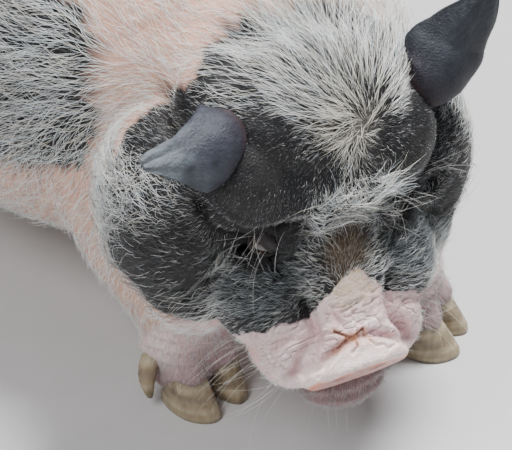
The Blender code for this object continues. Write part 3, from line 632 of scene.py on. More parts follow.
def eyeball(side, name):
    bm = bmesh.new()
    bmesh.ops.create_icosphere(bm, subdivisions=5, radius=EYE_RADIUS)
    points = np.array([v.co[:] for v in bm.verts])
    from_pupil = np.arccos(np.clip(points[:, 2] / EYE_RADIUS, -1, 1))
    # a slight bulge of the cornea
    grow = 1 + 0.03 * np.exp(-((from_pupil / 0.45) ** 2))
    for vert, g in zip(bm.verts, grow):
        vert.co *= g
    bm.transform(eye_frame(side))
    obj = object_of(bm, name)
    obj.data.shade_smooth()
    turn = np.arctan2(points[:, 1], points[:, 0])
    streak = 0.5 + 0.5 * np.sin(turn * 37 + 3 * np.sin(turn * 11))
    iris = ramp(-from_pupil, -0.62, -0.56)
    colour = layered(
        plain((0.035, 0.022, 0.016), len(points)),
        ((0.042, 0.021, 0.011), iris * (0.6 + 0.4 * streak)),
        ((0.02, 0.012, 0.01), iris * ramp(from_pupil, 0.48, 0.58)),
        ((0.002, 0.002, 0.002), ramp(-from_pupil, -0.27, -0.23)),
    )
    set_tint(obj.data, colour)
    return obj


# Folds of the skin, as lines in the head's frame in millimetres, with depth and width in metres

FOLDS = [
    # between the cheek and the jowl, down from the eye
    ([(66, 94, 88), (90, 90, 68), (116, 92, 45), (140, 94, 20)], 0.008, 0.005),
    # bags under the eye
    ([(85, 75, 68), (105, 74, 60), (124, 62, 62), (130, 48, 70)], 0.0022, 0.0032),
    ([(88, 81, 58), (112, 79, 50), (134, 66, 54)], 0.0014, 0.0028),
    # between the brows and the bridge
    ([(96, 30, 112), (112, 31, 97), (124, 37, 84)], 0.0034, 0.0045),
    # between the middle of the nose and the swell of the lip
    ([(158, 36, 68), (173, 33, 64), (188, 34, 60), (199, 42, 50), (208, 51, 34)], 0.0072, 0.006),
    # behind the rim of the nose plate
    ([(212, 46, 38), (209, 34, 54), (201, 22, 61), (197, 12, 64), (196, 0, 65)], 0.0046, 0.0032),
    # fans of creases from the hub of the nose
    ([(191, 8, 67), (178, 16, 69), (166, 18, 72)], 0.0013, 0.0022),
    ([(190, 2, 67), (180, 0, 70), (170, 3, 73)], 0.001, 0.002),
    ([(186, 36, 59), (182, 50, 52), (184, 60, 42)], 0.0011, 0.0026),
    # corner of the mouth
    ([(128, 60, 12), (120, 70, 20), (116, 80, 32)], 0.0026, 0.004),
    # behind the ear and down the nape
    ([(-10, 96, 108), (-22, 112, 80), (-22, 128, 48)], 0.004, 0.007),
]
# the deep folds under the brows, right and left
BROW_FOLDS = [
    [(66, -100, 98), (83, -87, 98), (96, -70, 98), (101, -50, 103), (99, -35, 110)],
    [(90, 101, 74), (102, 86, 70), (107, 66, 84), (104, 48, 98), (98, 32, 112)],
]
BROW_DEPTH = 0.0085
BROW_WIDE = 0.0048
# swellings: middle, how far they stand out, and how wide
SWELLS = [
    ((0.074, 0.062, 0.116), 0.0036, 0.02), ((0.178, 0.058, 0.048), 0.0026, 0.015),
    ((0.204, 0.0, 0.062), 0.0014, 0.01), ((0.128, 0.072, 0.06), 0.002, 0.012),
]
CRACKS = [
    [(186, -20, 67), (193, -11, 67), (195, -6, 67), (191, 3, 68), (199, 6, 68),
     (207, 10, 67), (208, 17, 66), (212, 20, 64), (211, 28, 62)],
    [(195, -6, 67), (197, -14, 66), (203, -21, 63), (209, -29, 59), (217, -37, 53)],
    [(197, -4, 67), (203, -5, 67), (207, -10, 66)],
]
MOUTH_LINE = [
    (0.128, 0.0115), (0.14, 0.004), (0.16, -0.002),
    (0.185, -0.003), (0.205, -0.0005), (0.245, 0.001),
]

WHORL = np.array((0.045, 0.019, 0.153))
WHORL_LEAN = np.array((-0.007, 0.0, 0.0))
# the head's markings and hair end behind this plane
NAPE_Y = -0.17

# Where the black of the head ends
NAPE_EDGE = (
    [0.0, 0.02, 0.06, 0.082, 0.1, 0.125, 0.146],
    [-0.055, -0.066, -0.051, -0.028, -0.022, -0.012, 0.012],
)
MUZZLE_EDGE = (
    [-0.09, -0.072, -0.05, -0.033, -0.022, -0.01, 0.0, 0.007, 0.015, 0.029, 0.046, 0.068, 0.09],
    [0.164, 0.17, 0.172, 0.167, 0.158, 0.151, 0.147, 0.143, 0.151, 0.163, 0.172, 0.18, 0.172],
)
JAW_EDGE = ([-0.02, 0.06, 0.11, 0.135, 0.15, 0.2], [0.01, -0.035, -0.025, 0.004, 0.022, 0.03])
FLANK_EDGE = (
    [0.1, 0.198, 0.228, 0.265, 0.306, 0.326, 0.371, 0.43],
    [-0.06, -0.126, -0.154, -0.168, -0.176, -0.173, -0.132, -0.09],
)
# other black patches of the body: middle and half sizes
PATCHES = [
    ((0.02, 0.37, 0.33), (0.175, 0.12, 0.13)), ((0.165, 0.02, 0.32), (0.085, 0.125, 0.12)),
    ((0.11, -0.19, 0.335), (0.045, 0.04, 0.05)), ((0.175, 0.21, 0.175), (0.035, 0.04, 0.045)),
]


def ragged(points, seed=3):
    """Small uneven steps for the edge of a patch."""
    sizes = ((0.02, 0.004), (0.006, 0.0018), (0.0022, 0.0014))
    return sum(noise(points, size, seed + k) * far for k, (size, far) in enumerate(sizes))


def head_black(points, head):
    x, y, z = head.T
    inside = np.minimum(x - np.interp(abs(y), *NAPE_EDGE), np.interp(y, *MUZZLE_EDGE) - x)
    inside = np.minimum(inside, z - np.interp(x, *JAW_EDGE))
    return ramp(inside + ragged(points), -0.0008, 0.0008)


def body_black(points):
    """The black patch behind the right shoulder and the others of the back, rump and left side."""
    x, y, z = points.T
    edge = ragged(points, 9) * 1.6
    flank = np.minimum(y - np.interp(z, *FLANK_EDGE), 0.175 - 0.12 * abs(z - 0.3) - y)
    flank = np.minimum(flank, z - 0.185 + 0.25 * np.minimum(0, y))
    flank = np.minimum(flank, -0.025 - x)
    black = ramp(flank + edge, -0.0012, 0.0012)
    for at, half in PATCHES:
        inside = (1 - distance(points, at, half)) * min(half) + edge * 1.5
        black = np.maximum(black, ramp(inside, -0.0012, 0.0012))
    return black


def blackness(points):
    """1 on black skin, 0 on pink, for points in the design's frame."""
    head = into(HEAD, points)
    on_head = (head[:, 0] > -0.075) & (points[:, 1] < NAPE_Y)
    return np.where(on_head, head_black(points, head), body_black(points))


def of_head(points):
    """Whether hair that grows at the points belongs to the head."""
    return (into(HEAD, points)[:, 0] > -0.06) & (points[:, 1] < NAPE_Y)


def from_disc(disc):
    """Distance from the middle of the nose plate, 1 at its edge."""
    return np.hypot(disc[:, 1] / DISC_HALF[0], disc[:, 2] / DISC_HALF[1])


def from_nostril(disc, side):
    aside = (disc[:, 1] - side * NOSTRIL_ASIDE) / NOSTRIL_HALF[0]
    return np.hypot(aside, (disc[:, 2] - 0.001) / NOSTRIL_HALF[1])


def crack_near(head, line):
    """Distance from a crack, mostly as seen from above the snout."""
    flat = np.array((1.0, 1.0, 0.3))
    return reach(head * flat, np.array(line) / 1000 * flat)


def fold_shade(head):
    """How deep in a fold each point lies, from 0 to 1, which sets the painted shade of the folds."""
    even = folded(head)
    deepest = np.zeros(len(head))
    for line, deep, wide in FOLDS:
        near = reach(even, np.array(line) / 1000)
        deepest = np.maximum(deepest, min(1.0, deep / 0.005) * bell(near, 0.75 * wide))
    return deepest


def pink_skin(points, head, mottle):
    """Pink, duller down the legs and browner and darker at the feet, a pale muzzle with ochre on its
    bridge, and painted shade under the chin.
    """
    x, y, z = head.T
    # the legs grow duller lower down and browner and darker at the feet
    feet = ramp(-points[:, 2], -0.06, -0.028)
    pink = layered(
        plain((0.66, 0.39, 0.3), len(points)),
        ((0.76, 0.51, 0.42), ramp(mottle, 0.0, 0.6) * 0.6),
        ((0.52, 0.28, 0.2), ramp(-mottle, 0.1, 0.7) * 0.5),
        ((0.55, 0.42, 0.33), ramp(-points[:, 2], -0.16, -0.06) * 0.55),
        ((0.3, 0.22, 0.15), feet * (0.45 + 0.35 * ramp(mottle, -0.3, 0.5))),
    )
    pale = layered(
        plain((0.76, 0.53, 0.54), len(points)),
        ((0.88, 0.74, 0.74), ramp(mottle, -0.2, 0.5) * 0.7),
        ((0.56, 0.35, 0.37), ramp(-mottle, 0.2, 0.8) * 0.6),
    )
    ochre = ramp(-distance(head, (0.158, 0.002, 0.08), (0.026, 0.034, 0.03)), -1.1, -0.2)
    grains = ramp(noise(points, 0.0018, 23), 0.05, 0.5)
    lips = ramp(x, 0.135, 0.15) * ramp(abs(y), 0.03, 0.06)
    rosy = reach(head, [(0.15, -0.085, 0.015), (0.185, -0.066, 0.02), (0.2, -0.06, 0.01)])
    # painted shade on the underside of the chin
    chin = ramp(-z, -0.012, 0.0) * ramp(x, 0.15, 0.2)
    return layered(
        pink,
        (pale, ramp(x, 0.135, 0.15)),
        ((0.6, 0.46, 0.24), ochre * (0.4 + 0.45 * grains)),
        ((0.62, 0.47, 0.52), lips * 0.35 * ramp(mottle, -0.5, 0.5)),
        ((0.62, 0.46, 0.3), lips * 0.35 * grains),
        ((0.66, 0.33, 0.27), ramp(-rosy, -0.02, -0.004) * 0.5),
        ((0.22, 0.125, 0.13), chin * (0.8 + 0.2 * mottle)),
    )


def black_skin(head, mottle):
    """Black, grey where the whorl parts the hair and brown on the bridge."""
    brown = ramp(-distance(head, (0.13, 0.002, 0.09), (0.022, 0.018, 0.03)), -1.5, -0.2)
    return layered(
        plain((0.0075, 0.0075, 0.009), len(head)),
        ((0.022, 0.019, 0.017), ramp(mottle, -0.3, 0.6) * 0.5),
        ((0.26, 0.24, 0.21), bell(from_whorl_middle(head), 0.014) * 0.6),
        ((0.13, 0.085, 0.05), brown * (0.55 + 0.3 * mottle)),
    )


def from_whorl_middle(head):
    return np.linalg.norm(head - WHORL + WHORL_LEAN, axis=1)


def nose_colours(colour, disc, x, mottle):
    """The nose plate and its pale rim over the colour of the skin. The rim and the top of the plate's face
    are partly paler skin and partly painted highlight; the rest of the face has painted shade, and its
    edges a painted orange glow of light through the skin.
    """
    r = from_disc(disc)
    ahead, _, up = disc.T
    near = x > 0.18
    on_disc = ramp(-r, -1.22, -1.12) * near
    # the pale rim: partly its own paler skin, partly painted highlight on its top where the light falls
    rim = ramp(ahead, -0.016, -0.01) * ramp(r, 0.8, 0.92) * on_disc * ramp(up, -0.03, 0.0)
    # painted shade on the face of the plate, which is turned down and away from the light
    face = ramp(ahead, -0.001, 0.002) * ramp(-r, -1.02, -0.92)
    front = ramp(ahead, 0.0002, 0.002) * on_disc
    # a painted orange glow of light through the thin edges of the plate
    edge = bell(up - 0.0145 - 0.002 * mottle, 0.0036)
    edge = np.maximum(edge, ramp(r, 0.86, 0.96) * ramp(-up, -0.016, -0.01))
    return layered(
        colour,
        ((0.93, 0.77, 0.73), rim * 0.9),
        ((0.6, 0.33, 0.29), face * near * 0.9),
        # the top of the plate's face paler: partly paler skin, partly painted highlight like the rim
        ((0.9, 0.7, 0.65), front * ramp(up, 0.015, 0.02)),
        ((0.8, 0.25, 0.13), front * edge * 0.85),
    )


def skin_colours(points):
    head = into(HEAD, points)
    x = head[:, 0]
    mottle = noise(points, 0.03, 20) * 0.5 + noise(points, 0.008, 21) * 0.5
    colour = blend(pink_skin(points, head, mottle), black_skin(head, mottle), blackness(points))
    # painted shade in the folds of the skin, darkest along their lines
    colour = colour * (1 - np.array((0.4, 0.58, 0.58)) * fold_shade(head)[:, None])
    for line in CRACKS:
        near = crack_near(head, line)
        colour = blend(colour, (0.62, 0.32, 0.16), ramp(-near, -0.006, -0.0012) * 0.45)
        colour = blend(colour, (0.2, 0.062, 0.026), ramp(-near, -0.0016, -0.0005) * 0.92)
    disc = into(disc_frame(), points)
    colour = nose_colours(colour, disc, x, mottle)
    mouth = ramp(-mouth_near(head), -0.0022, -0.0004)
    colour = blend(colour, (0.1, 0.035, 0.03), mouth * (x > 0.12) * 0.8)
    for side in (-1, 1):
        # painted shade inside the nostrils
        pit = ramp(-from_nostril(disc, side), -1.0, -0.7) * (disc[:, 0] > -0.02) * (x > 0.18)
        colour = blend(colour, (0.06, 0.015, 0.012), pit)
        # darker skin round the eye: its black lids, with painted shade of the recess under the brow
        socket = ramp(-from_eye(points, side), -0.02, -0.015)
        colour = blend(colour, (0.016, 0.013, 0.013), socket * 0.9)
    return colour * (1 + 0.1 * noise(points, 0.003, 22)[:, None])


def wetness(points):
    """1 on the moist plate of the nose and its rim and along the mouth, 0 on dry skin."""
    head = into(HEAD, points)
    disc = into(disc_frame(), points)
    plate = ramp(disc[:, 0], -0.02, -0.012) * ramp(-from_disc(disc), -1.3, -1.15)
    mouth = ramp(-mouth_near(head), -0.006, -0.002) * (head[:, 0] > 0.12)
    return np.maximum(plate, 0.6 * mouth)


def mouth_near(head):
    """Distance from the line of the mouth, seen from the side."""
    return reach(head[:, [0, 2]], MOUTH_LINE)


def subdivide_near(obj, inside):
    """Halves the edges of the faces whose corners the test holds."""
    bm = bmesh.new()
    bm.from_mesh(obj.data)
    bm.verts.ensure_lookup_table()
    points = np.array([v.co[:] for v in bm.verts])
    keep = inside(points)
    edges = [e for e in bm.edges if keep[e.verts[0].index] and keep[e.verts[1].index]]
    bmesh.ops.subdivide_edges(bm, edges=edges, cuts=1, use_grid_fill=True, smooth=0.0)
    bm.to_mesh(obj.data)
    bm.free()


def on_face(points):
    near_eye = np.minimum(from_eye(points, -1), from_eye(points, 1))
    return (into(HEAD, points)[:, 0] > 0.15) | (near_eye < 0.03)


def on_nose(points):
    head = into(HEAD, points)
    return (head[:, 0] > 0.178) & (head[:, 2] > -0.012)


def coat_depth(points, head):
    """How far the skin lies under the outside of the coat."""
    bare = np.maximum(ramp(head[:, 0], 0.125, 0.16), ramp(-points[:, 2], -0.06, -0.035))
    return 0.0022 * (1 - bare)


def groove(near, deep, wide):
    """How far a fold sinks the skin at a distance from its line, with raised lips."""
    return deep * bell(near, wide) - 0.28 * deep * bell(near - 2.2 * wide, 1.2 * wide)


def fold_depth(points, head):
    """How far the coat, the folds, the swellings and the cracks sink or raise the skin."""
    depth = coat_depth(points, head)
    even = folded(head)
    even += 0.0012 * np.stack([noise(points, 0.012, 30 + k) for k in range(3)], axis=1)
    for line, deep, wide in FOLDS:
        depth += groove(reach(even, np.array(line) / 1000), deep, wide)
    for line in BROW_FOLDS:
        depth += groove(reach(head, np.array(line) / 1000), BROW_DEPTH, BROW_WIDE)
    for at, high, wide in SWELLS:
        depth -= high * bell(distance(even, at), wide)
    for line in CRACKS:
        near = crack_near(head, line)
        depth += 0.0018 * bell(near, 0.001) - 0.0006 * bell(near - 0.003, 0.0018)
    return depth


def add_wrinkles(depth, points, head):
    """Adds the creases of the snout, the roll of the shoulder, the wrinkles of the legs and the mouth."""
    ahead, _, up = head.T
    snout = ramp(ahead, 0.15, 0.175) * ramp(-ahead, -0.205, -0.199) * ramp(up, 0.02, 0.04)
    ridges = 1 - abs(noise(head * np.array((2.2, 0.9, 2.2)), 0.009, 40))
    depth += snout * 0.0016 * ramp(ridges, 0.78, 1.0)
    depth += snout * 0.0005 * noise(points, 0.0026, 44)
    x, y, z = points.T
    roll = bell(y + 0.205 - 0.1 * (z - 0.3), 0.016) * ramp(abs(x), 0.07, 0.12) * ramp(z, 0.15, 0.22)
    depth += 0.005 * roll
    uneven = 0.001 * noise(points, 0.018, 41) + 0.0005 * noise(points, 0.007, 42)
    rough = 1 - 0.35 * ramp(ahead, 0.15, 0.18) - 0.5 * ramp(ahead, 0.196, 0.206)
    depth += uneven * rough
    shin = ramp(-z, -0.115, -0.095) * ramp(z, 0.045, 0.06)
    depth += shin * 0.0011 * np.sin((z + noise(points, 0.03, 43) * 0.004) * 2 * math.pi / 0.012)
    depth += ramp(ahead, 0.118, 0.132) * 0.0042 * bell(mouth_near(head), 0.0016)


def open_nostrils(points, head):
    disc = into(disc_frame(), points)
    for side in (-1, 1):
        far = from_nostril(disc, side)
        pit = ramp(-far, -1.1, -0.55) * (disc[:, 0] > -0.012)
        lip = bell(far - 1.3, 0.25) * (disc[:, 0] > -0.004) * ramp(-far, -1.9, -1.3)
        disc[:, 0] += 0.0012 * lip - 0.011 * pit
    front = (head[:, 0] > 0.2)[:, None]
    return np.where(front, out_of(disc_frame(), disc), points)


def open_socket(points, side):
    """Draws the skin inside the slit of the lids to behind the eyeball's surface."""
    local = into(eye_frame(side), points)
    r = np.linalg.norm(local, axis=1)
    phi = np.arccos(np.clip(local[:, 2] / np.maximum(r, 1e-6), -1, 1))
    open_to = slit_angle(np.arctan2(local[:, 1], local[:, 0])) + 0.16
    held = np.minimum(r, EYE_RADIUS - 0.0015)
    share = ramp(-phi, -open_to - 0.1, -open_to) * (r < SOCKET_REACH)
    scale = (held * share + r * (1 - share)) / np.maximum(r, 1e-6)
    return out_of(eye_frame(side), local * scale[:, None])


def shape_skin(obj):
    """Sinks the skin by the coat's depth and presses its folds, nostrils, eyes and mouth into it."""
    mesh = obj.data
    points, out = points_of(mesh), normals_of(mesh)
    head = into(HEAD, points)
    depth = fold_depth(points, head)
    add_wrinkles(depth, points, head)
    points = open_nostrils(points - out * depth[:, None], head)
    for side in (-1, 1):
        points = open_socket(points, side)
    set_points(mesh, clear_of_horn(points))
    mesh.update()


def clear_of_horn(points):
    """Draws the skin inside the claws in, so that none of it shows through the horn."""
    for name in FEET:
        foot = foot_frame(name)
        local = into(foot, points)
        high = local[:, 2]
        for side in (-1, 1):
            x = local[:, 0] - side * CLAW_ASIDE
            # the flesh leaves out the row just above the sole
            share, front, back = claw_edges(np.delete(CLAW_ROWS, 1, axis=0), high)
            middle, long = (front + back) / 2, (back - front) / 2
            far = np.hypot(x / (share * CLAW_WIDTH / 2), (local[:, 1] - middle) / long)
            held = (high < CLAW_HEIGHT - 0.001) & (far < 1.12) & (far > 0.6)
            shrink = np.where(held, np.minimum(1.0, 0.82 / np.maximum(far, 1e-6)), 1.0)
            local[:, 0] = side * CLAW_ASIDE + x * shrink
            local[:, 1] = middle + (local[:, 1] - middle) * shrink
        near = (high < 0.06) & (np.hypot(local[:, 0], local[:, 1]) < 0.09)
        points = np.where(near[:, None], out_of(foot, local), points)
    points[:, 2] = np.maximum(points[:, 2], SKIN_LOWEST)
    return points


def thin_body(obj):
    """Fewer faces on the body than on the head."""
    points = points_of(obj.data)
    head = into(HEAD, points)
    far = ramp(np.maximum(0.03 - head[:, 0], points[:, 1] + 0.19), 0.0, 0.04)
    group = obj.vertex_groups.new(name="body")
    for index, weight in enumerate(far.tolist()):
        if weight > 0:
            group.add([index], weight, "REPLACE")
    fewer = obj.modifiers.new("fewer", "DECIMATE")
    fewer.ratio = BODY_FACES
    fewer.vertex_group = "body"
    settle(obj)
    obj.vertex_groups.clear()
    return obj


def make_skin():
    bm = bmesh.new()
    torso_forms(bm)
    neck_forms(bm)
    for name in FEET:
        leg_forms(bm, name)
    body = fuse(object_of(bm, "flesh"), BODY_VOXEL, 26)
    bm = bmesh.new()
    bm.from_mesh(body.data)
    bpy.data.objects.remove(body)
    head_forms(bm)
    muzzle_forms(bm)
    disc_form(bm)
    tail_forms(bm)
    skin = thin_body(fuse(object_of(bm, "pig_skin"), SKIN_VOXEL, 6))
    for finer in (on_face, on_nose):
        subdivide_near(skin, finer)
    shape_skin(skin)
    mesh = skin.data
    set_tint(mesh, skin_colours(points_of(mesh)))
    set_tint(mesh, np.repeat(wetness(points_of(mesh))[:, None], 3, axis=1), "wet")
    return skin


def ear_colours(obj, side, shares, backs):
    points = points_of(obj.data)
    mottle = noise(points, 0.012, 50)
    tip = np.array((HEAD.to_3x3() @ Vector(ear_pose(side)[2])).normalized())
    fine = noise(points - 0.75 * (points @ tip)[:, None] * tip, 0.0015, 51)
    # the ears grow paler towards their tips: painted sheen, strong on the right ear and weak on the left
    pale = 0.8 if side < 0 else 0.25
    grey = plain((0.038, 0.042, 0.058), len(points))
    grey = blend(grey, (0.125, 0.145, 0.16), ramp(shares + 0.12 * mottle, 0.3, 0.95) * pale)
    colour = layered(
        grey if side < 0 else grey * 0.5,
        ((0.024, 0.018, 0.026), ramp(-shares + 0.1 * mottle, -0.36, -0.1) * 0.7),
        ((0.075, 0.034, 0.03), ramp(-abs(shares - 0.06), -0.09, -0.01) * 0.4),
        ((0.1, 0.07, 0.07), (1 - backs) * 0.75),
    )
    set_tint(obj.data, colour * (1 + 0.22 * mottle[:, None] + 0.4 * fine[:, None]))
    set_tint(obj.data, np.zeros((len(points), 3)), "wet")


# Coat

# Lie of the coat: place and length in millimetres, way it lies, hairs per square centimetre, curl
HEAD_LIE = [
    ((5, 20, 157), (-95, 20, 5), 55, 11, 0.1), ((-3, -1, 158), (-91, -31, -5), 56, 9, 0.1),
    ((20, -20, 158), (-69, -70, 0), 54, 7, 0.1), ((-24, -35, 139), (-75, -45, -35), 45, 5, 0.3),
    ((-32, -60, 123), (-60, -70, -35), 34, 3, 0.4), ((32, 43, 149), (-60, 75, -10), 38, 5, 0.2),
    ((2, 62, 138), (-80, 40, -30), 48, 9, 0.1), ((46, 14, 153), (-90, 10, 15), 36, 24, 0.4),
    ((59, 15, 146), (81, -8, -58), 18, 8, 0.7), ((73, 10, 137), (90, 0, -40), 12, 8, 0.8),
    ((56, -40, 140), (44, -74, -50), 3.2, 42, 0.2), ((32, -38, 150), (0, -95, -20), 3.6, 40, 0.2),
    ((24, -58, 140), (-10, -95, -30), 3.6, 36, 0.2), ((46, -16, 151), (-10, -90, -10), 8, 24, 0.4),
    ((50, -75, 125), (31, -90, -30), 3, 36, 0.2), ((84, -40, 124), (60, -60, -50), 3.4, 48, 0.2),
    ((75, -70, 110), (50, -60, -60), 3.2, 42, 0.2), ((77, 51, 127), (72, 49, -49), 3.4, 42, 0.2),
    ((60, 80, 115), (50, 70, -50), 3.2, 36, 0.2), ((85, 5, 130), (60, 30, -40), 18, 8, 0.8),
    ((101, -13, 117), (-15, 89, 30), 40, 6, 1.2), ((96, 22, 120), (-30, 95, 3), 44, 6, 1.1),
    ((110, 46, 90), (-10, 95, -31), 38, 7, 1.1), ((106, -30, 103), (5, 90, 42), 32, 7, 1.2),
    ((127, -22, 89), (-59, -81, 0), 10, 20, 0.5), ((138, 22, 83), (-34, 90, -20), 10, 20, 0.5),
    ((128, 2, 92), (-95, 10, 30), 8, 22, 0.4), ((143, -62, 66), (-20, -92, -35), 12, 34, 0.3),
    ((128, -75, 60), (-10, -80, -60), 15, 34, 0.4), ((137, -40, 77), (-30, -90, -30), 9, 30, 0.3),
    ((120, -88, 36), (-30, -50, -80), 16, 22, 0.4), ((150, 60, 62), (-35, 85, -35), 10, 30, 0.3),
    ((132, 90, 42), (-70, 50, -20), 22, 26, 0.4), ((165, 86, 28), (-90, 30, 10), 20, 26, 0.4),
    ((86, 116, 50), (-90, 30, 0), 26, 18, 0.4), ((88, -82, 85), (-10, -60, -80), 5, 22, 0.3),
    ((75, -105, 72), (-50, -60, -60), 6, 16, 0.4), ((105, -112, 50), (-60, -60, -50), 6, 16, 0.5),
    ((40, -146, 48), (-60, -35, -70), 28, 12, 1.3), ((60, -150, 28), (-50, -20, -85), 32, 9, 1.2),
    ((30, -147, 34), (-60, -10, -80), 28, 13, 1.3), ((40, -130, 70), (-80, -45, -30), 20, 8, 1.2),
    ((84, -149, 19), (-45, -10, -90), 36, 2.5, 0.8), ((112, -135, 15), (-40, -20, -90), 30, 2, 0.7),
    ((90, -128, 48), (-50, -30, -80), 12, 3, 0.7), ((135, -112, 5), (-30, -30, -90), 20, 10, 0.6),
    ((165, -72, 40), (10, -60, -75), 6, 14, 0.3), ((180, -69, 30), (12, -50, -85), 9.5, 12, 0.3),
    ((188, -45, 52), (35, -85, -40), 3, 10, 0.2), ((186, 0, 68), (60, 0, -20), 2.2, 8, 0.2),
    ((196, 58, 41), (30, 70, -60), 5, 12, 0.3), ((185, 78, 25), (10, 80, -50), 11, 16, 0.3),
    ((236, 5, -12), (70, -10, -70), 9.5, 30, 0.2), ((222, -28, -18), (35, -45, -80), 11, 28, 0.3),
    ((222, 40, -18), (35, 55, -75), 11, 28, 0.3), ((180, 0, -45), (-30, 0, -95), 12, 14, 0.3),
    ((190, -50, -12), (10, -70, -70), 12, 22, 0.3), ((190, 55, -12), (10, 70, -70), 12, 22, 0.3),
    ((215, 0, 34), (20, 0, -90), 1, 0, 0.1), ((222, 0, 60), (50, 0, 30), 1, 0, 0.1),
    ((80, 0, -80), (-90, 0, -30), 14, 10, 0.3), ((-12, -95, 108), (-60, -70, -40), 5, 10, 0.3),
    ((-18, -78, 120), (-60, -70, -40), 12, 3, 0.3), ((-46, -52, 104), (-60, -70, -40), 28, 4, 0.3),
    ((0, -60, 140), (-50, -80, -30), 24, 4, 0.3), ((48, 40, 148), (20, 90, -30), 4, 30, 0.3),
    ((60, 36, 142), (60, 70, -40), 3.6, 34, 0.3), ((66, 28, 139), (80, 40, -50), 4, 30, 0.4),
    ((61, -6, 144), (70, -60, -40), 4, 32, 0.4), ((74, -8, 136), (80, -40, -50), 4.2, 30, 0.4),
    ((2, -120, 82), (-50, -60, -60), 6.5, 14, 0.3), ((20, -100, 100), (-40, -60, -60), 5, 16, 0.3),
]
# the rows above whose mirror image the left side of the head has
MIRRORED = [4, 14, 16, 27, 28, 30, 34, 35, 36, 37, 38, 39, 40, 41, 42, 43, 44]
BODY_LIE = [
    ((-111, -196, 368), (10, 93, 30), 30, 9, 0.2), ((-114, -235, 362), (5, 96, 15), 26, 9, 0.3),
    ((-135, -211, 326), (-12, 87, -48), 24, 10, 0.4), ((-150, -207, 302), (-6, 65, -76), 24, 12, 0.4),
    ((-152, -171, 242), (-9, 45, -90), 26, 12, 0.4), ((-123, -162, 366), (5, 90, 40), 36, 10, 0.2),
    ((-153, -98, 346), (-24, 97, 1), 48, 11, 0.3), ((-152, -133, 326), (-33, 91, -26), 44, 12, 0.4),
    ((-162, -129, 289), (-29, 85, -45), 44, 12, 0.5), ((-161, -137, 242), (-20, 72, -66), 42, 12, 0.6),
    ((-156, -145, 215), (2, 30, -95), 38, 10, 0.6), ((-168, -100, 305), (-35, 90, -30), 48, 12, 0.4),
    ((-185, -20, 280), (-10, 92, -38), 46, 10, 0.3), ((-198, 100, 250), (0, 90, -43), 42, 8, 0.3),
    ((-170, 260, 260), (5, 80, -60), 40, 8, 0.3), ((-190, 80, 130), (30, 80, -50), 26, 7, 0.3),
    ((-140, 320, 190), (5, 45, -90), 26, 9, 0.3), ((-110, 390, 300), (20, 60, -75), 36, 9, 0.3),
    ((-80, 80, 44), (20, 95, 0), 14, 5, 0.3), ((-100, -180, 140), (-5, 20, -97), 20, 10, 0.3),
    ((-110, -230, 110), (0, 10, -100), 14, 13, 0.3), ((-104, -250, 70), (0, 5, -100), 10, 15, 0.3),
    ((-108, 330, 120), (0, 15, -100), 14, 13, 0.3), ((-104, 350, 70), (0, 10, -100), 10, 15, 0.3),
    ((-70, -290, 180), (-10, 20, -95), 20, 9, 0.3), ((-60, -200, 400), (-5, 100, 10), 46, 11, 0.2),
    ((-80, 0, 405), (-20, 100, -5), 52, 10, 0.2), ((-80, 200, 400), (-20, 100, -5), 48, 10, 0.2),
    ((-160, 50, 350), (-30, 90, -20), 48, 10, 0.2),
]
SPINE_LIE = [
    ((0, -180, 425), (0, 100, 12), 56, 12, 0.2), ((0, -60, 430), (0, 100, 5), 62, 11, 0.2),
    ((0, 100, 415), (0, 100, 5), 56, 10, 0.2), ((0, 260, 412), (0, 100, 0), 48, 10, 0.2),
    ((0, 400, 370), (0, 80, -60), 36, 9, 0.2), ((0, 440, 300), (0, 30, -95), 24, 8, 0.2),
    ((0, 480, 300), (0, 10, -100), 22, 12, 0.3), ((0, 480, 220), (0, 0, -100), 50, 26, 0.4),
    ((0, 100, 40), (0, 100, 0), 12, 4, 0.3), ((0, -150, 85), (0, 100, -20), 14, 6, 0.3),
    ((-30, -285, 390), (0, 95, 25), 46, 9, 0.2), ((10, -304, 378), (25, 95, 10), 50, 10, 0.2),
    ((60, -290, 350), (45, 85, -10), 40, 12, 0.2), ((0, -330, 160), (0, 30, -95), 16, 8, 0.3),
]


def mirrored(row, way):
    """A row of the coat's lie on the other side."""
    return (np.array(row[0]) * way, np.array(row[1]) * way, *row[2:])


def lie_table():
    """All rows of the coat's lie in the design's frame, as arrays."""
    rows = HEAD_LIE + [mirrored(HEAD_LIE[k], (1, -1, 1)) for k in MIRRORED]
    on_head = len(rows)
    for row in BODY_LIE:
        rows += [row, mirrored(row, (-1, 1, 1))]
    rows += SPINE_LIE
    places, ways = (np.array([row[k] for row in rows], float) for k in (0, 1))
    values = np.array([row[2:] for row in rows], float)
    places /= 1000
    values[:, 0] /= 1000
    places[:on_head] = out_of(HEAD, places[:on_head])
    ways[:on_head] = turn_out_of(HEAD, ways[:on_head])
    return places, unit(ways), values


LIE = lie_table()
WHORL_REACH = 0.045
# how near a row's place its values hold alone, how many points are worked on at once, and how
# many square centimetres a square metre has
LIE_EVEN = 0.01
RUN = 20000
PER_SQUARE_METRE = 10000
EAR_HAIRS = 34.0
EAR_HAIR_THICK = 0.00026


def from_whorl(points, way):
    """The lie near the whorl of the crown, where the hair spreads in a spiral from one spot."""
    apart = into(HEAD, points) - WHORL
    far = np.linalg.norm(apart, axis=1)
    share = np.exp(-((far / WHORL_REACH) ** 4)) * (apart[:, 0] < 0.03)
    x, y, z = (apart + WHORL_LEAN + 1e-6).T
    turn = bell(far, 0.022)
    c, s = np.cos(turn), np.sin(turn)
    turned = np.stack([x * c - y * s, x * s + y * c, z], axis=1)
    return blend(way, turn_out_of(HEAD, unit(turned)), share)


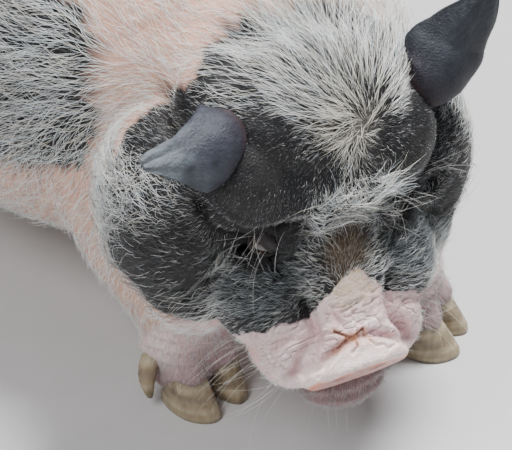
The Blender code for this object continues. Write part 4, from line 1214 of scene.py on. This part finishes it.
def lie_at(points):
    """Way of the coat, its length, hairs per square centimetre and curl at each point."""
    places, ways, values = LIE
    way = np.empty((len(points), 3))
    value = np.empty((len(points), values.shape[1]))
    for start in range(0, len(points), RUN):
        part = points[start : start + RUN]
        far = ((part[:, None, :] - places[None]) ** 2).sum(-1)
        weight = 1 / (far + LIE_EVEN**2) ** 2.5
        weight /= weight.sum(1, keepdims=True)
        way[start : start + RUN] = weight @ ways
        value[start : start + RUN, 0] = np.exp(weight @ np.log(values[:, 0]))
        value[start : start + RUN, 1:] = weight @ values[:, 1:]
    return from_whorl(points, way), value


class Ground:
    """A mesh's triangles to grow hair on."""

    def __init__(self, obj):
        mesh = obj.data
        mesh.calc_loop_triangles()
        self.points, self.normals = points_of(mesh), normals_of(mesh)
        self.corners = read(mesh.loop_triangles, "vertices", np.int32)
        self.tree = BVHTree.FromPolygons(self.points.tolist(), self.corners.tolist())
        a, b, c = (self.points[self.corners[:, k]] for k in range(3))
        self.areas = np.linalg.norm(np.cross(b - a, c - a), axis=1) / 2
        self.middles = (a + b + c) / 3

    def scatter(self, density):
        """Random spots and ways out of the skin, with this many per square metre of each triangle."""
        count = rng.poisson(self.areas * density)
        index = np.repeat(np.arange(len(count)), count)
        u, v = rng.random((2, len(index)))
        flip = u + v > 1
        u, v = np.where(flip, 1 - u, u), np.where(flip, 1 - v, v)
        three = self.corners[index]
        shares = (1 - u - v, u, v)
        spots = sum(self.points[three[:, k]] * s[:, None] for k, s in enumerate(shares))
        outs = sum(self.normals[three[:, k]] * s[:, None] for k, s in enumerate(shares))
        return spots, unit(outs)


class Unwrap:
    """A coarse unwrap of the skin's own shape, which gives each root its place on the coat's map."""

    def __init__(self, obj):
        copy = scene_object("unwrap", obj.data.copy())
        fewer = copy.modifiers.new("fewer", "DECIMATE")
        fewer.ratio = UNWRAP_FACES / max(1, len(copy.data.polygons) * 2)
        settle(copy)
        select_only([copy], copy)
        bpy.ops.object.mode_set(mode="EDIT")
        bpy.ops.mesh.select_all(action="SELECT")
        bpy.ops.uv.smart_project(angle_limit=math.radians(66), island_margin=0.004)
        bpy.ops.object.mode_set(mode="OBJECT")
        mesh = copy.data
        mesh.calc_loop_triangles()
        corners = read(mesh.loop_triangles, "vertices", np.int32)
        loops = read(mesh.loop_triangles, "loops", np.int32)
        self.points = points_of(mesh)[corners]
        self.uv = read(mesh.uv_layers.active.uv, "vector", width=2)[loops]
        self.tree = BVHTree.FromPolygons(points_of(mesh).tolist(), corners.tolist())
        bpy.data.objects.remove(copy)

    def at(self, spots):
        """Place on the map of each spot."""
        index = np.array([self.tree.find_nearest(s)[2] for s in spots.tolist()])
        a, b, c = (self.points[index, k] for k in range(3))
        n = np.cross(b - a, c - a)
        area = np.maximum((n * n).sum(1), 1e-18)
        u = (np.cross(c - b, spots - b) * n).sum(1) / area
        v = (np.cross(a - c, spots - c) * n).sum(1) / area
        weight = np.clip(np.stack([u, v, 1 - u - v], axis=1), 0, 1)
        weight /= weight.sum(1, keepdims=True)
        return (self.uv[index] * weight[:, :, None]).sum(1)


SWAY = 0.13
CURL_SWAY = 0.3
BEND = 0.2
CURL_BEND = 0.55
STRAYS = 0.07
MOST_LIFT = 0.013
ROOT_SUNK = 0.001
# how much the hairs cross each other at the whorl
WHORL_CROSS = 1.6
# how much of the way down to the skin the long hairs are drawn, so that a tip past an edge stands free
DRAWN_DOWN = 0.75
MAP_PATCH = 0.0015


def mane(spots):
    """1 along the spine and the nape, where the bristles stand up, to 0 on the sides."""
    x, y, z = spots.T
    line = np.where(y < -0.24, 0.1 * (y + 0.24), 0.0)
    return bell(x - line, 0.035) * ramp(z, 0.34, 0.38) * ramp(-y, -0.36, -0.1)


def hair_lines(spots, outs, ways, length, rings, lift, curl, tree=None):
    """Points of each hair from its root, sunk in the skin, to its tip. Long ones follow the skin."""
    ahead = unit(ways - outs * (ways * outs).sum(1, keepdims=True))
    aside = np.cross(outs, ahead)
    count = len(spots)
    sway = rng.normal(0, SWAY, count) + curl * rng.normal(0, CURL_SWAY, count)
    sway += (0.1 + 0.25 * curl) * noise(spots, 0.006, 70)
    sway += bell(from_whorl_middle(into(HEAD, spots)), 0.012) * rng.normal(0, WHORL_CROSS, count)
    bend = rng.normal(0, BEND, count) + curl * rng.normal(0, CURL_BEND, count)
    rise = lift * rng.uniform(0.4, 1.6, count)
    rise = np.where(rng.random(count) < STRAYS, rise + rng.uniform(0.2, 0.7, count), rise)
    rise = rise + mane(spots) * rng.uniform(0.1, 0.5, count)
    highest = np.minimum(rise * length, MOST_LIFT)
    lines = [spots - outs * ROOT_SUNK]
    for k in range(1, rings + 1):
        s = k / rings
        angle = sway + bend * s
        way = ahead * np.cos(angle)[:, None] + aside * np.sin(angle)[:, None]
        height = highest * (s - 0.35 * s * s) + 0.0002
        spot = spots + way * (length * s)[:, None] + outs * height[:, None]
        if tree is not None:
            near = [tree.find_nearest(p) for p in spot.tolist()]
            foot, up = (np.array([n[k][:] for n in near]) for k in (0, 1))
            spot = spot * (1 - DRAWN_DOWN) + (foot + up * height[:, None]) * DRAWN_DOWN
        lines.append(spot)
    return np.stack(lines, axis=1)


def hair_mesh(name, lines, width, colours, uv):
    """Thin three-sided tapered hairs along the lines, joined in one mesh."""
    count, rings = lines.shape[0], lines.shape[1] - 1
    ahead = unit(np.gradient(lines, axis=1))
    side = unit(np.cross(ahead, np.array([0.31, 0.17, 0.93])))
    up = np.cross(side, ahead)
    taper = np.interp(np.arange(rings + 1) / rings, [0, 0.25, 0.7, 1], [1.0, 1.0, 0.75, 0.0])
    verts = []
    for k in range(rings):
        r = (width * taper[k] / 2)[:, None]
        for turn in (0, 2 * math.pi / 3, 4 * math.pi / 3):
            verts.append(lines[:, k] + (side[:, k] * math.cos(turn) + up[:, k] * math.sin(turn)) * r)
    verts.append(lines[:, rings])
    points = np.stack(verts, axis=1)
    per = points.shape[1]
    faces = [(2, 1, 0)]
    for k in range(rings - 1):
        for j in range(3):
            a, b = 3 * k + j, 3 * k + (j + 1) % 3
            faces += [(a, b, b + 3), (a, b + 3, a + 3)]
    last = 3 * (rings - 1)
    faces += [(last + j, last + (j + 1) % 3, per - 1) for j in range(3)]
    faces = np.array(faces)
    every = (np.arange(count)[:, None, None] * per + faces[None]).reshape(-1, 3)
    obj = mesh_object(name, points.reshape(-1, 3), every)
    shares = np.append(np.repeat(np.arange(rings), 3), rings) / rings
    # painted shade darkens each hair towards its root, and its tip is painted a little brighter
    shade = np.interp(shares, [0, 0.4, 1], [0.72, 1.0, 1.05])
    set_tint(obj.data, (colours[:, None, :] * shade[None, :, None]).reshape(-1, 3))
    layer = obj.data.uv_layers.new(name="OFBake")
    around = np.linspace(0, 2 * math.pi, per, endpoint=False)
    patch = MAP_PATCH * np.stack([np.cos(around), np.sin(around)], axis=1)
    place = np.clip(uv[:, None, :] + patch[None], 0.0, 1.0).reshape(-1, 2)
    layer.uv.foreach_set("vector", place[every.ravel()].astype(np.float32).ravel())
    return obj


def hair_colours(spots, length):
    """White, cream and grey bristles, with black, grey and brown ones on the black patches."""
    count = len(spots)

    def some(share):
        return rng.random(count) < share

    pick = rng.random(count)
    black = blackness(spots)
    head = into(HEAD, spots)
    short = ramp(-length, -0.01, -0.005) * black
    brown = ramp(-distance(head, (0.128, 0.0, 0.092), (0.024, 0.022, 0.03)), -1.4, -0.3)
    cheek = ramp(-distance(folded(head), (0.136, 0.06, 0.06), (0.034, 0.04, 0.034)), -1.15, -0.6)
    jowl = ramp(-distance(folded(head), (0.1, 0.124, 0.036), (0.052, 0.036, 0.052)), -1.2, -0.8)
    colour = layered(
        plain((0.98, 0.98, 0.96), count),
        ((0.92, 0.82, 0.6), (pick < 0.22) * 0.5),
        ((0.72, 0.84, 0.9), (pick > 0.65) * 0.6),
        ((0.86, 0.78, 0.6), bell(distance(head, WHORL), 0.03) * 0.5),
        ((0.05, 0.05, 0.055), short * some(0.84) * 0.95),
        ((0.3, 0.3, 0.31), short * some(0.5) * 0.6),
        ((0.3, 0.23, 0.15), brown * 0.7 * black),
        ((0.21, 0.25, 0.27), cheek * 0.85 * black * some(0.85)),
        ((0.06, 0.065, 0.07), cheek * 0.85 * black * some(0.4)),
        ((0.04, 0.038, 0.038), jowl * 0.9 * black * some(0.82)),
        ((0.03, 0.03, 0.034), (some(0.2) & (black > 0.5) & (length > 0.01)) * 0.9),
    )
    # darker hair round the eyes: partly its own dark hair, partly painted shade of the recess under the
    # brow
    for side in (-1, 1):
        socket = ramp(-from_eye(spots, side), -0.032, -0.024)
        colour = blend(colour, (0.02, 0.02, 0.022), socket * 0.93)
    # painted shade on the hairs under the chin
    chin = ramp(-head[:, 2], -0.004, 0.008) * ramp(head[:, 0], 0.15, 0.19)
    colour = blend(colour, (0.4, 0.33, 0.34), chin * 0.7)
    return np.minimum(colour * rng.uniform(0.84, 1.1, (count, 1)), 1.0)


def split(total, most):
    """Even runs of indices, none longer than most."""
    return np.array_split(np.arange(total), max(1, math.ceil(total / most)))


# kind of hair: whether on the head, shortest, longest, steps, width, lift
KINDS = [
    ("crown", True, 0.019, 1.0, 5, 0.00033, 0.2),
    ("face", True, 0.012, 0.019, 3, 0.00026, 0.24),
    ("cheek", True, 0.0075, 0.012, 2, 0.00025, 0.24),
    ("down", True, 0.0045, 0.0075, 2, 0.00026, 0.3),
    ("nap", True, 0.0, 0.0045, 1, 0.00026, 0.3),
    ("flank", False, 0.019, 1.0, 3, 0.00042, 0.17),
    ("legs", False, 0.0, 0.019, 2, 0.00036, 0.22),
]
# hair of a kind that grows longer than this follows the skin below it
FOLLOWS = 0.0075
REAR_THIN = 0.62
HEAD_THICK = 1.6
BODY_THICK = 0.72
PIECE_TRIANGLES = 190000
GROWN = 1.0


def hair_density(middles):
    """Hairs per square metre at each place: none on the eyes, the nose plate, the claws and the soles."""
    density = lie_at(middles)[1][:, 1] * PER_SQUARE_METRE
    for side in (-1, 1):
        density = density * ramp(from_eye(middles, side), 0.015, 0.023)
    disc = into(disc_frame(), middles)
    bare = (disc[:, 0] > -0.012) & (from_disc(disc) < 1.15)
    density = density * ramp(middles[:, 2], 0.026, 0.04) * np.where(bare, 0.0, 1.0)
    density = density * (1 - (1 - REAR_THIN) * ramp(middles[:, 1], -0.06, 0.06))
    density = density * (1 - 0.35 * (1 - blackness(middles)) * ramp(-middles[:, 1], 0.0, 0.08))
    return density * np.where(of_head(middles), HEAD_THICK, BODY_THICK)


def grow_coat(ground, unwrap):
    spots, outs = ground.scatter(hair_density(ground.middles) * GROWN)
    ways, value = lie_at(spots)
    length = value[:, 0] * rng.uniform(0.6, 1.3, len(spots))
    colours = hair_colours(spots, length)
    uv = unwrap.at(spots)
    made = []
    for kind, face, low, high, rings, width, lift in KINDS:
        chosen = np.flatnonzero((length >= low) & (length < high) & (of_head(spots) == face))
        below = ground.tree if high > FOLLOWS else None
        for number, run in enumerate(split(len(chosen), PIECE_TRIANGLES // (6 * rings - 2))):
            at = chosen[run]
            lines = hair_lines(spots[at], outs[at], ways[at], length[at], rings, lift, value[at, 2], below)
            thick = width * rng.uniform(0.75, 1.2, len(at))
            made.append(hair_mesh(f"coat_{kind}_{number + 1}", lines, thick, colours[at], uv[at]))
    return made


# Materials


def add_node(made, kind, **values):
    """A node of a material, with values for its inputs, whose names have _ for each space."""
    node = made.node_tree.nodes.new("ShaderNode" + kind)
    for name, value in values.items():
        node.inputs[name.replace("_", " ")].default_value = value
    return node


def link(made, *pairs):
    for source, target in pairs:
        made.node_tree.links.new(source, target)


def new_material(name, roughness, grain_size, **grain):
    """A material with a noise in the object's own space. Also its shader, coordinates and noise."""
    made = bpy.data.materials.new(name)
    made.use_nodes = True
    shader = made.node_tree.nodes["Principled BSDF"]
    shader.inputs["Roughness"].default_value = roughness
    coords = add_node(made, "TexCoord").outputs["Object"]
    fine = add_node(made, "TexNoise", Scale=grain_size, **grain)
    link(made, (coords, fine.inputs["Vector"]))
    return made, shader, coords, fine


def level(made, source, low, high, from_low=0.0, from_high=1.0):
    """A value spread over a new range."""
    node = add_node(made, "MapRange", From_Min=from_low, From_Max=from_high, To_Min=low, To_Max=high)
    link(made, (source, node.inputs["Value"]))
    return node.outputs["Result"]


def tint(made, shader, share, fine):
    """The colours of the mesh, darkened by a share of a fine pattern."""
    colours = add_node(made, "Attribute")
    colours.attribute_name = "tint"
    mix = add_node(made, "Mix", Factor=share)
    mix.data_type = "RGBA"
    mix.blend_type = "MULTIPLY"
    link(made, (colours.outputs["Color"], mix.inputs[6]), (fine, mix.inputs[7]))
    link(made, (mix.outputs[2], shader.inputs["Base Color"]))


def relief(made, shader, height, strength, far):
    bump = add_node(made, "Bump", Strength=strength, Distance=far)
    link(made, (height, bump.inputs["Height"]), (bump.outputs["Normal"], shader.inputs["Normal"]))


def skin_material():
    made, shader, coords, grain = new_material("pig_hide", 0.5, 420.0, Detail=4.0)
    tint(made, shader, 0.35, level(made, grain.outputs["Fac"], 0.72, 1.12, 0.3, 0.7))
    pores = add_node(made, "TexVoronoi", Scale=620.0)
    add = add_node(made, "Math")
    add.operation = "ADD"
    link(made, (coords, pores.inputs["Vector"]), (grain.outputs["Fac"], add.inputs[0]))
    link(made, (pores.outputs["Distance"], add.inputs[1]))
    relief(made, shader, add.outputs["Value"], 0.45, 0.0009)
    wet = add_node(made, "Attribute")
    wet.attribute_name = "wet"
    link(made, (level(made, wet.outputs["Fac"], 0.6, 0.3), shader.inputs["Roughness"]))
    shader.inputs["Specular IOR Level"].default_value = 0.32
    return made


def hair_material():
    made, shader, _, streak = new_material("bristle", 0.42, 160.0)
    tint(made, shader, 1.0, level(made, streak.outputs["Fac"], 0.86, 1.1))
    shader.inputs["Specular IOR Level"].default_value = 0.45
    return made


def eye_material():
    made, shader, _, veins = new_material("wet_eye", 0.06, 300.0)
    tint(made, shader, 0.3, veins.outputs["Fac"])
    shader.inputs["Coat Weight"].default_value = 1.0
    shader.inputs["Coat Roughness"].default_value = 0.02
    return made


def horn_material():
    made, shader, coords, fibre = new_material("horn", 0.46, 260.0, Detail=5.0)
    stretch = add_node(made, "Mapping", Scale=(1.0, 1.0, 0.25))
    link(made, (coords, stretch.inputs["Vector"]), (stretch.outputs["Vector"], fibre.inputs["Vector"]))
    tint(made, shader, 0.8, level(made, fibre.outputs["Fac"], 0.66, 1.12, 0.3, 0.72))
    relief(made, shader, fibre.outputs["Fac"], 0.35, 0.0006)
    return made


# Horn


def claw(name, side, label):
    """A main claw with growth ridges, a rounded upper edge and a flat sole."""
    foot = foot_frame(name) @ Matrix.Translation((side * CLAW_ASIDE, 0, 0))
    heights = np.concatenate([[0.0, 0.0006, 0.0014], np.linspace(0.003, CLAW_HEIGHT, 26)])
    sides = 48
    points, where = [], []
    for high, share, front, back in zip(heights, *claw_edges(CLAW_ROWS, heights)):
        ridge = 0.00028 * math.sin(high * 2 * math.pi / 0.0042) * min(1.0, high / 0.004)
        edge = 0.0006 * (1 - min(1.0, high / 0.0014))
        middle, long = (front + back) / 2, (back - front) / 2 + ridge - edge
        wide = CLAW_WIDTH / 2 * share + ridge - edge
        for c, s in turns(sides):
            narrow = 1.0 - 0.2 * max(0.0, -s) ** 2
            x = wide * narrow * fuller(c, 0.85) - side * 0.004 * max(0.0, -s) ** 2
            points.append((foot @ Vector((x, middle + long * fuller(s, 0.9), high)))[:])
            where.append(high / CLAW_HEIGHT)
    return horn_piece(label, points, sides, np.array(where))


def dewclaw(name, side, label):
    foot = foot_frame(name)
    root = Vector((side * 0.03, 0.026, 0.056))
    ahead = Vector((side * 0.0455, 0.016, 0.014)) - root
    widths = [0.0085, 0.0098, 0.009, 0.0065, 0.003]
    rows, sides = 26, 28
    points, where = [], []
    across = ahead.cross(Vector((0, 1, 0))).normalized()
    up = ahead.cross(across).normalized()
    for j in range(rows):
        share = j / (rows - 1)
        wide = float(np.interp(share * 4, range(5), widths)) + 0.00022 * math.sin(share * 44)
        if share > 0.96:
            wide *= 0.75
        centre = root + ahead * share + Vector((side * 0.005 * math.sin(math.pi * share), 0, 0))
        for c, s in turns(sides):
            points.append((foot @ (centre + across * wide * 0.9 * c + up * wide * 0.86 * s))[:])
            where.append(1 - share)
    return horn_piece(label, points, sides, np.array(where))


def horn_piece(label, points, sides, high):
    """A closed piece of horn from rings of points and their height as a share of its length."""
    points = np.array(points)
    obj = close_ends(mesh_object(label, points, grid_faces(len(points) // sides, sides)))
    mottle = noise(points, 0.012, 60)
    rings = 0.5 + 0.5 * np.sin(high * 26 + mottle)
    colour = layered(
        plain((0.36, 0.28, 0.17), len(points)),
        ((0.52, 0.44, 0.31), rings * 0.5),
        ((0.13, 0.09, 0.06), ramp(-abs(high - 0.55 - 0.08 * mottle), -0.2, -0.02) * 0.55),
        ((0.1, 0.075, 0.055), ramp(-high, -0.12, 0.0) * 0.45),
        ((0.07, 0.05, 0.038), ramp(mottle, 0.45, 0.8) * 0.5),
    )
    set_tint(obj.data, colour)
    return obj


# Putting the pig together


def join(main, others):
    select_only([main, *others], main)
    bpy.ops.object.join()
    return main


def place(obj, material, slot, *nodes):
    obj.data.transform(Matrix.Translation(SHIFT))
    obj.data.materials.clear()
    obj.data.materials.append(material)
    obj.data.shade_smooth()
    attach(obj, "root")
    if nodes:
        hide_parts(*nodes)


def ear_hair(ear_obj, side, shares, unwrap):
    """Fine short down on the ear, which lies to its tip."""
    ground = Ground(ear_obj)
    near = np.take(shares, ground.corners[:, 0])
    spots, outs = ground.scatter(np.where(near > 0.02, EAR_HAIRS, 0.0) * PER_SQUARE_METRE * GROWN)
    count = len(spots)
    root, _, to_tip, _ = ear_pose(side)
    tip = np.array(Vector(to_tip).normalized())
    way = turn_out_of(HEAD, plain(tip, count))
    along_it = (into(HEAD, spots) - np.array(root)) @ tip / EAR_LENGTH
    length = rng.uniform(0.0022, 0.0048, count)
    lines = hair_lines(spots, outs, way, length, 1, 0.16, np.full(count, 0.1))
    dusk = (0.042, 0.046, 0.062) if side < 0 else (0.03, 0.032, 0.042)
    # the hairs grow paler towards the tip: painted sheen, strong on the right ear and weak on the left
    colour = layered(
        plain(dusk, count),
        ((0.19, 0.22, 0.235), ramp(along_it, 0.3, 1.0) * (0.75 if side < 0 else 0.2)),
        ((0.05, 0.05, 0.06), (rng.random(count) < 0.3) * 0.5),
    )
    colour = colour * rng.uniform(0.75, 1.25, (count, 1))
    thick = np.full(count, EAR_HAIR_THICK)
    return hair_mesh(f"coat_ear_{SIDES[side]}", lines, thick, colour, unwrap.at(spots))


WHISKER_FRONT = -0.482
WHISKER_THICK = 0.00019


def whiskers(tree, unwrap):
    """Long single bristles of the lips, cheeks and brows, and the lashes."""
    sets = [
        # root, way, length, bend to the side, how many, spread of the roots; lengths in millimetres
        ((185, -66, 10), (10, -75, -60), 66, 0.7, 10, 14),
        ((176, -70, -8), (-20, -80, -50), 58, -0.9, 9, 18),
        ((205, -50, -10), (40, -75, -50), 60, 0.9, 8, 16),
        ((190, 62, 12), (10, 85, -30), 76, -1.5, 10, 14),
        ((165, 85, 0), (-40, 80, 10), 70, 1.4, 10, 18),
        ((235, 0, -30), (50, 10, -85), 36, 0.5, 6, 18),
        ((120, 110, 20), (-55, 80, 20), 62, 1.6, 8, 22),
        ((98, 80, 80), (-30, 90, 30), 52, -1.3, 6, 18),
        ((104, 50, 90), (45, 80, 30), 40, 0.6, 8, 14),
        ((100, -60, 92), (45, -75, -10), 38, 0.9, 8, 18),
        ((98, -70, 82), (75, -40, -30), 34, -1.0, 7, 16),
        ((118, -60, 68), (5, -85, 30), 38, -0.8, 7, 16),
        ((125, -75, 45), (-10, -95, -20), 54, 0.9, 9, 18),
        ((140, -85, 30), (0, -90, -40), 58, -1.0, 7, 20),
        ((100, 20, 118), (10, 60, 70), 36, 0.9, 6, 14),
    ]
    made = []
    for at, way, length, bend, many, spread in sets:
        for _ in range(many):
            spot = out_of(HEAD, np.array(at) / 1000 + rng.normal(0, spread / 1000 / 2, 3))
            near, out, _, _ = tree.find_nearest(spot)
            lean = turn_out_of(HEAD, np.array(way) / 100 + rng.normal(0, 0.14, 3))
            long = length / 1000 * rng.uniform(0.7, 1.2)
            made.append((near, out, lean, long, bend * rng.uniform(0.5, 1.4)))
    roots, outs, ways, lengths, bends = (np.array([m[k] for m in made]) for k in range(5))
    ways = unit(ways + outs * 0.25)
    rings = 10
    aside = unit(np.cross(outs, ways))
    down = np.array([0, 0, -1.0])
    run = []
    for s in np.arange(rings + 1) / rings:
        curve = bends * s * s * 0.5
        run.append(ways * s + aside * curve[:, None] + down * 0.12 * s * s)
    run = np.stack(run, axis=1)
    # none reaches far in front of the nose
    ahead = np.maximum(-run[:, :, 1].min(axis=1), 1e-6)
    lengths = np.minimum(lengths, (roots[:, 1] + SHIFT.y - WHISKER_FRONT) / ahead)
    sunk = ROOT_SUNK * (1 - np.arange(rings + 1) / rings)
    lines = roots[:, None] - outs[:, None] * sunk[None, :, None] + run * lengths[:, None, None]
    count = len(roots)
    colour = plain((0.88, 0.87, 0.82), count) * rng.uniform(0.85, 1.1, (count, 1))
    return hair_mesh("coat_whiskers", lines, np.full(count, WHISKER_THICK), colour, unwrap.at(roots))


def main():
    skin = make_skin()
    unwrap = Unwrap(skin)
    ground = Ground(skin)
    coat = grow_coat(ground, unwrap)
    coat.append(whiskers(ground.tree, unwrap))
    extra = []
    for side, label in SIDES.items():
        ear_obj, shares, backs = ear_shell(side, f"ear_shell_{label}")
        ear_colours(ear_obj, side, shares, backs)
        coat.append(ear_hair(ear_obj, side, shares, unwrap))
        lids = lid_shell(side, f"lids_{label}")
        count = len(lids.data.vertices)
        set_tint(lids.data, plain((0.022, 0.018, 0.018), count))
        set_tint(lids.data, np.full((count, 3), 0.3), "wet")
        extra += [ear_obj, lids]
    legs = [f"leg_{name}" for name in FEET]
    nodes = ["head", "neck", "torso", "tail", "ear_left", "ear_right", *legs]
    place(join(skin, extra), skin_material(), "skin_dark", *nodes)
    bristle, wet, horn = hair_material(), eye_material(), horn_material()
    for piece in coat:
        place(piece, bristle, "skin_dark")
    for side, label in SIDES.items():
        place(eyeball(side, f"eyeball_{label}"), wet, "eye", f"eye_{label}")
    for name in FEET:
        for side in (-1, 1):
            inner = (side > 0) != ("left" in name)
            tag = f"{name}_{'inner' if inner else 'outer'}"
            place(claw(name, side, f"hoof_{tag}"), horn, "horn", f"claw_{tag}")
            place(dewclaw(name, side, f"dew_{tag}"), horn, "horn", f"dewclaw_{tag}")


# Stage

FLOOR_SIZE = 14
SKY_COLOUR = (0.86, 0.91, 1.0, 1)
SKY_STRENGTH = 0.225
# place, width in metres and power in watts
LAMPS = [
    ("key", (0.65, -0.35, 2.5), 0.8, 138),
    ("over", (-1.5, -0.5, 1.9), 1.2, 34),
]
LAMPS_AIM = Vector((0, -0.2, 0.2))
CAMERA_AT = Vector((-1.0717, -1.3855, 1.453))
CAMERA_LENS = 170.2
CAMERA_AROUND = math.radians(-42)
CAMERA_ABOVE = math.radians(40)


def add_stage():
    bpy.ops.mesh.primitive_plane_add(size=FLOOR_SIZE, location=(0, 0, 0))
    floor = bpy.context.object
    floor.name = "floor"
    made, shader, _, grain = new_material("pale_floor", 0.85, 30.0)
    link(made, (level(made, grain.outputs["Fac"], 0.6, 0.66), shader.inputs["Base Color"]))
    floor.data.materials.append(made)
    world = bpy.data.worlds.new("studio")
    bpy.context.scene.world = world
    world.use_nodes = True
    sky = world.node_tree.nodes["Background"].inputs
    sky["Color"].default_value = SKY_COLOUR
    sky["Strength"].default_value = SKY_STRENGTH
    for name, at, size, power in LAMPS:
        add_area(name, at, size, power)


def add_area(name, at, size, power):
    lamp = bpy.data.lights.new(name, "AREA")
    lamp.shape = "DISK"
    lamp.size = size
    lamp.energy = power
    obj = scene_object(name, lamp)
    obj.location = at
    obj.rotation_mode = "QUATERNION"
    obj.rotation_quaternion = (LAMPS_AIM - Vector(at)).to_track_quat("-Z", "Y")


def add_camera():
    """Above and in front of the pig's right side, as the photo looks down on its head."""
    camera = bpy.data.cameras.new("camera")
    camera.sensor_width = 36.0
    camera.lens = CAMERA_LENS
    camera.clip_start = 0.05
    obj = scene_object("camera", camera)
    around, above = CAMERA_AROUND, CAMERA_ABOVE
    right = Vector((math.cos(around), math.sin(around), 0))
    level_back = math.cos(above)
    back = Vector((math.sin(around) * level_back, -math.cos(around) * level_back, math.sin(above)))
    turned = Matrix((right, back.cross(right), back)).transposed().to_4x4()
    obj.matrix_world = Matrix.Translation(CAMERA_AT + SHIFT) @ turned
    bpy.context.scene.camera = obj


main()
add_stage()
add_camera()
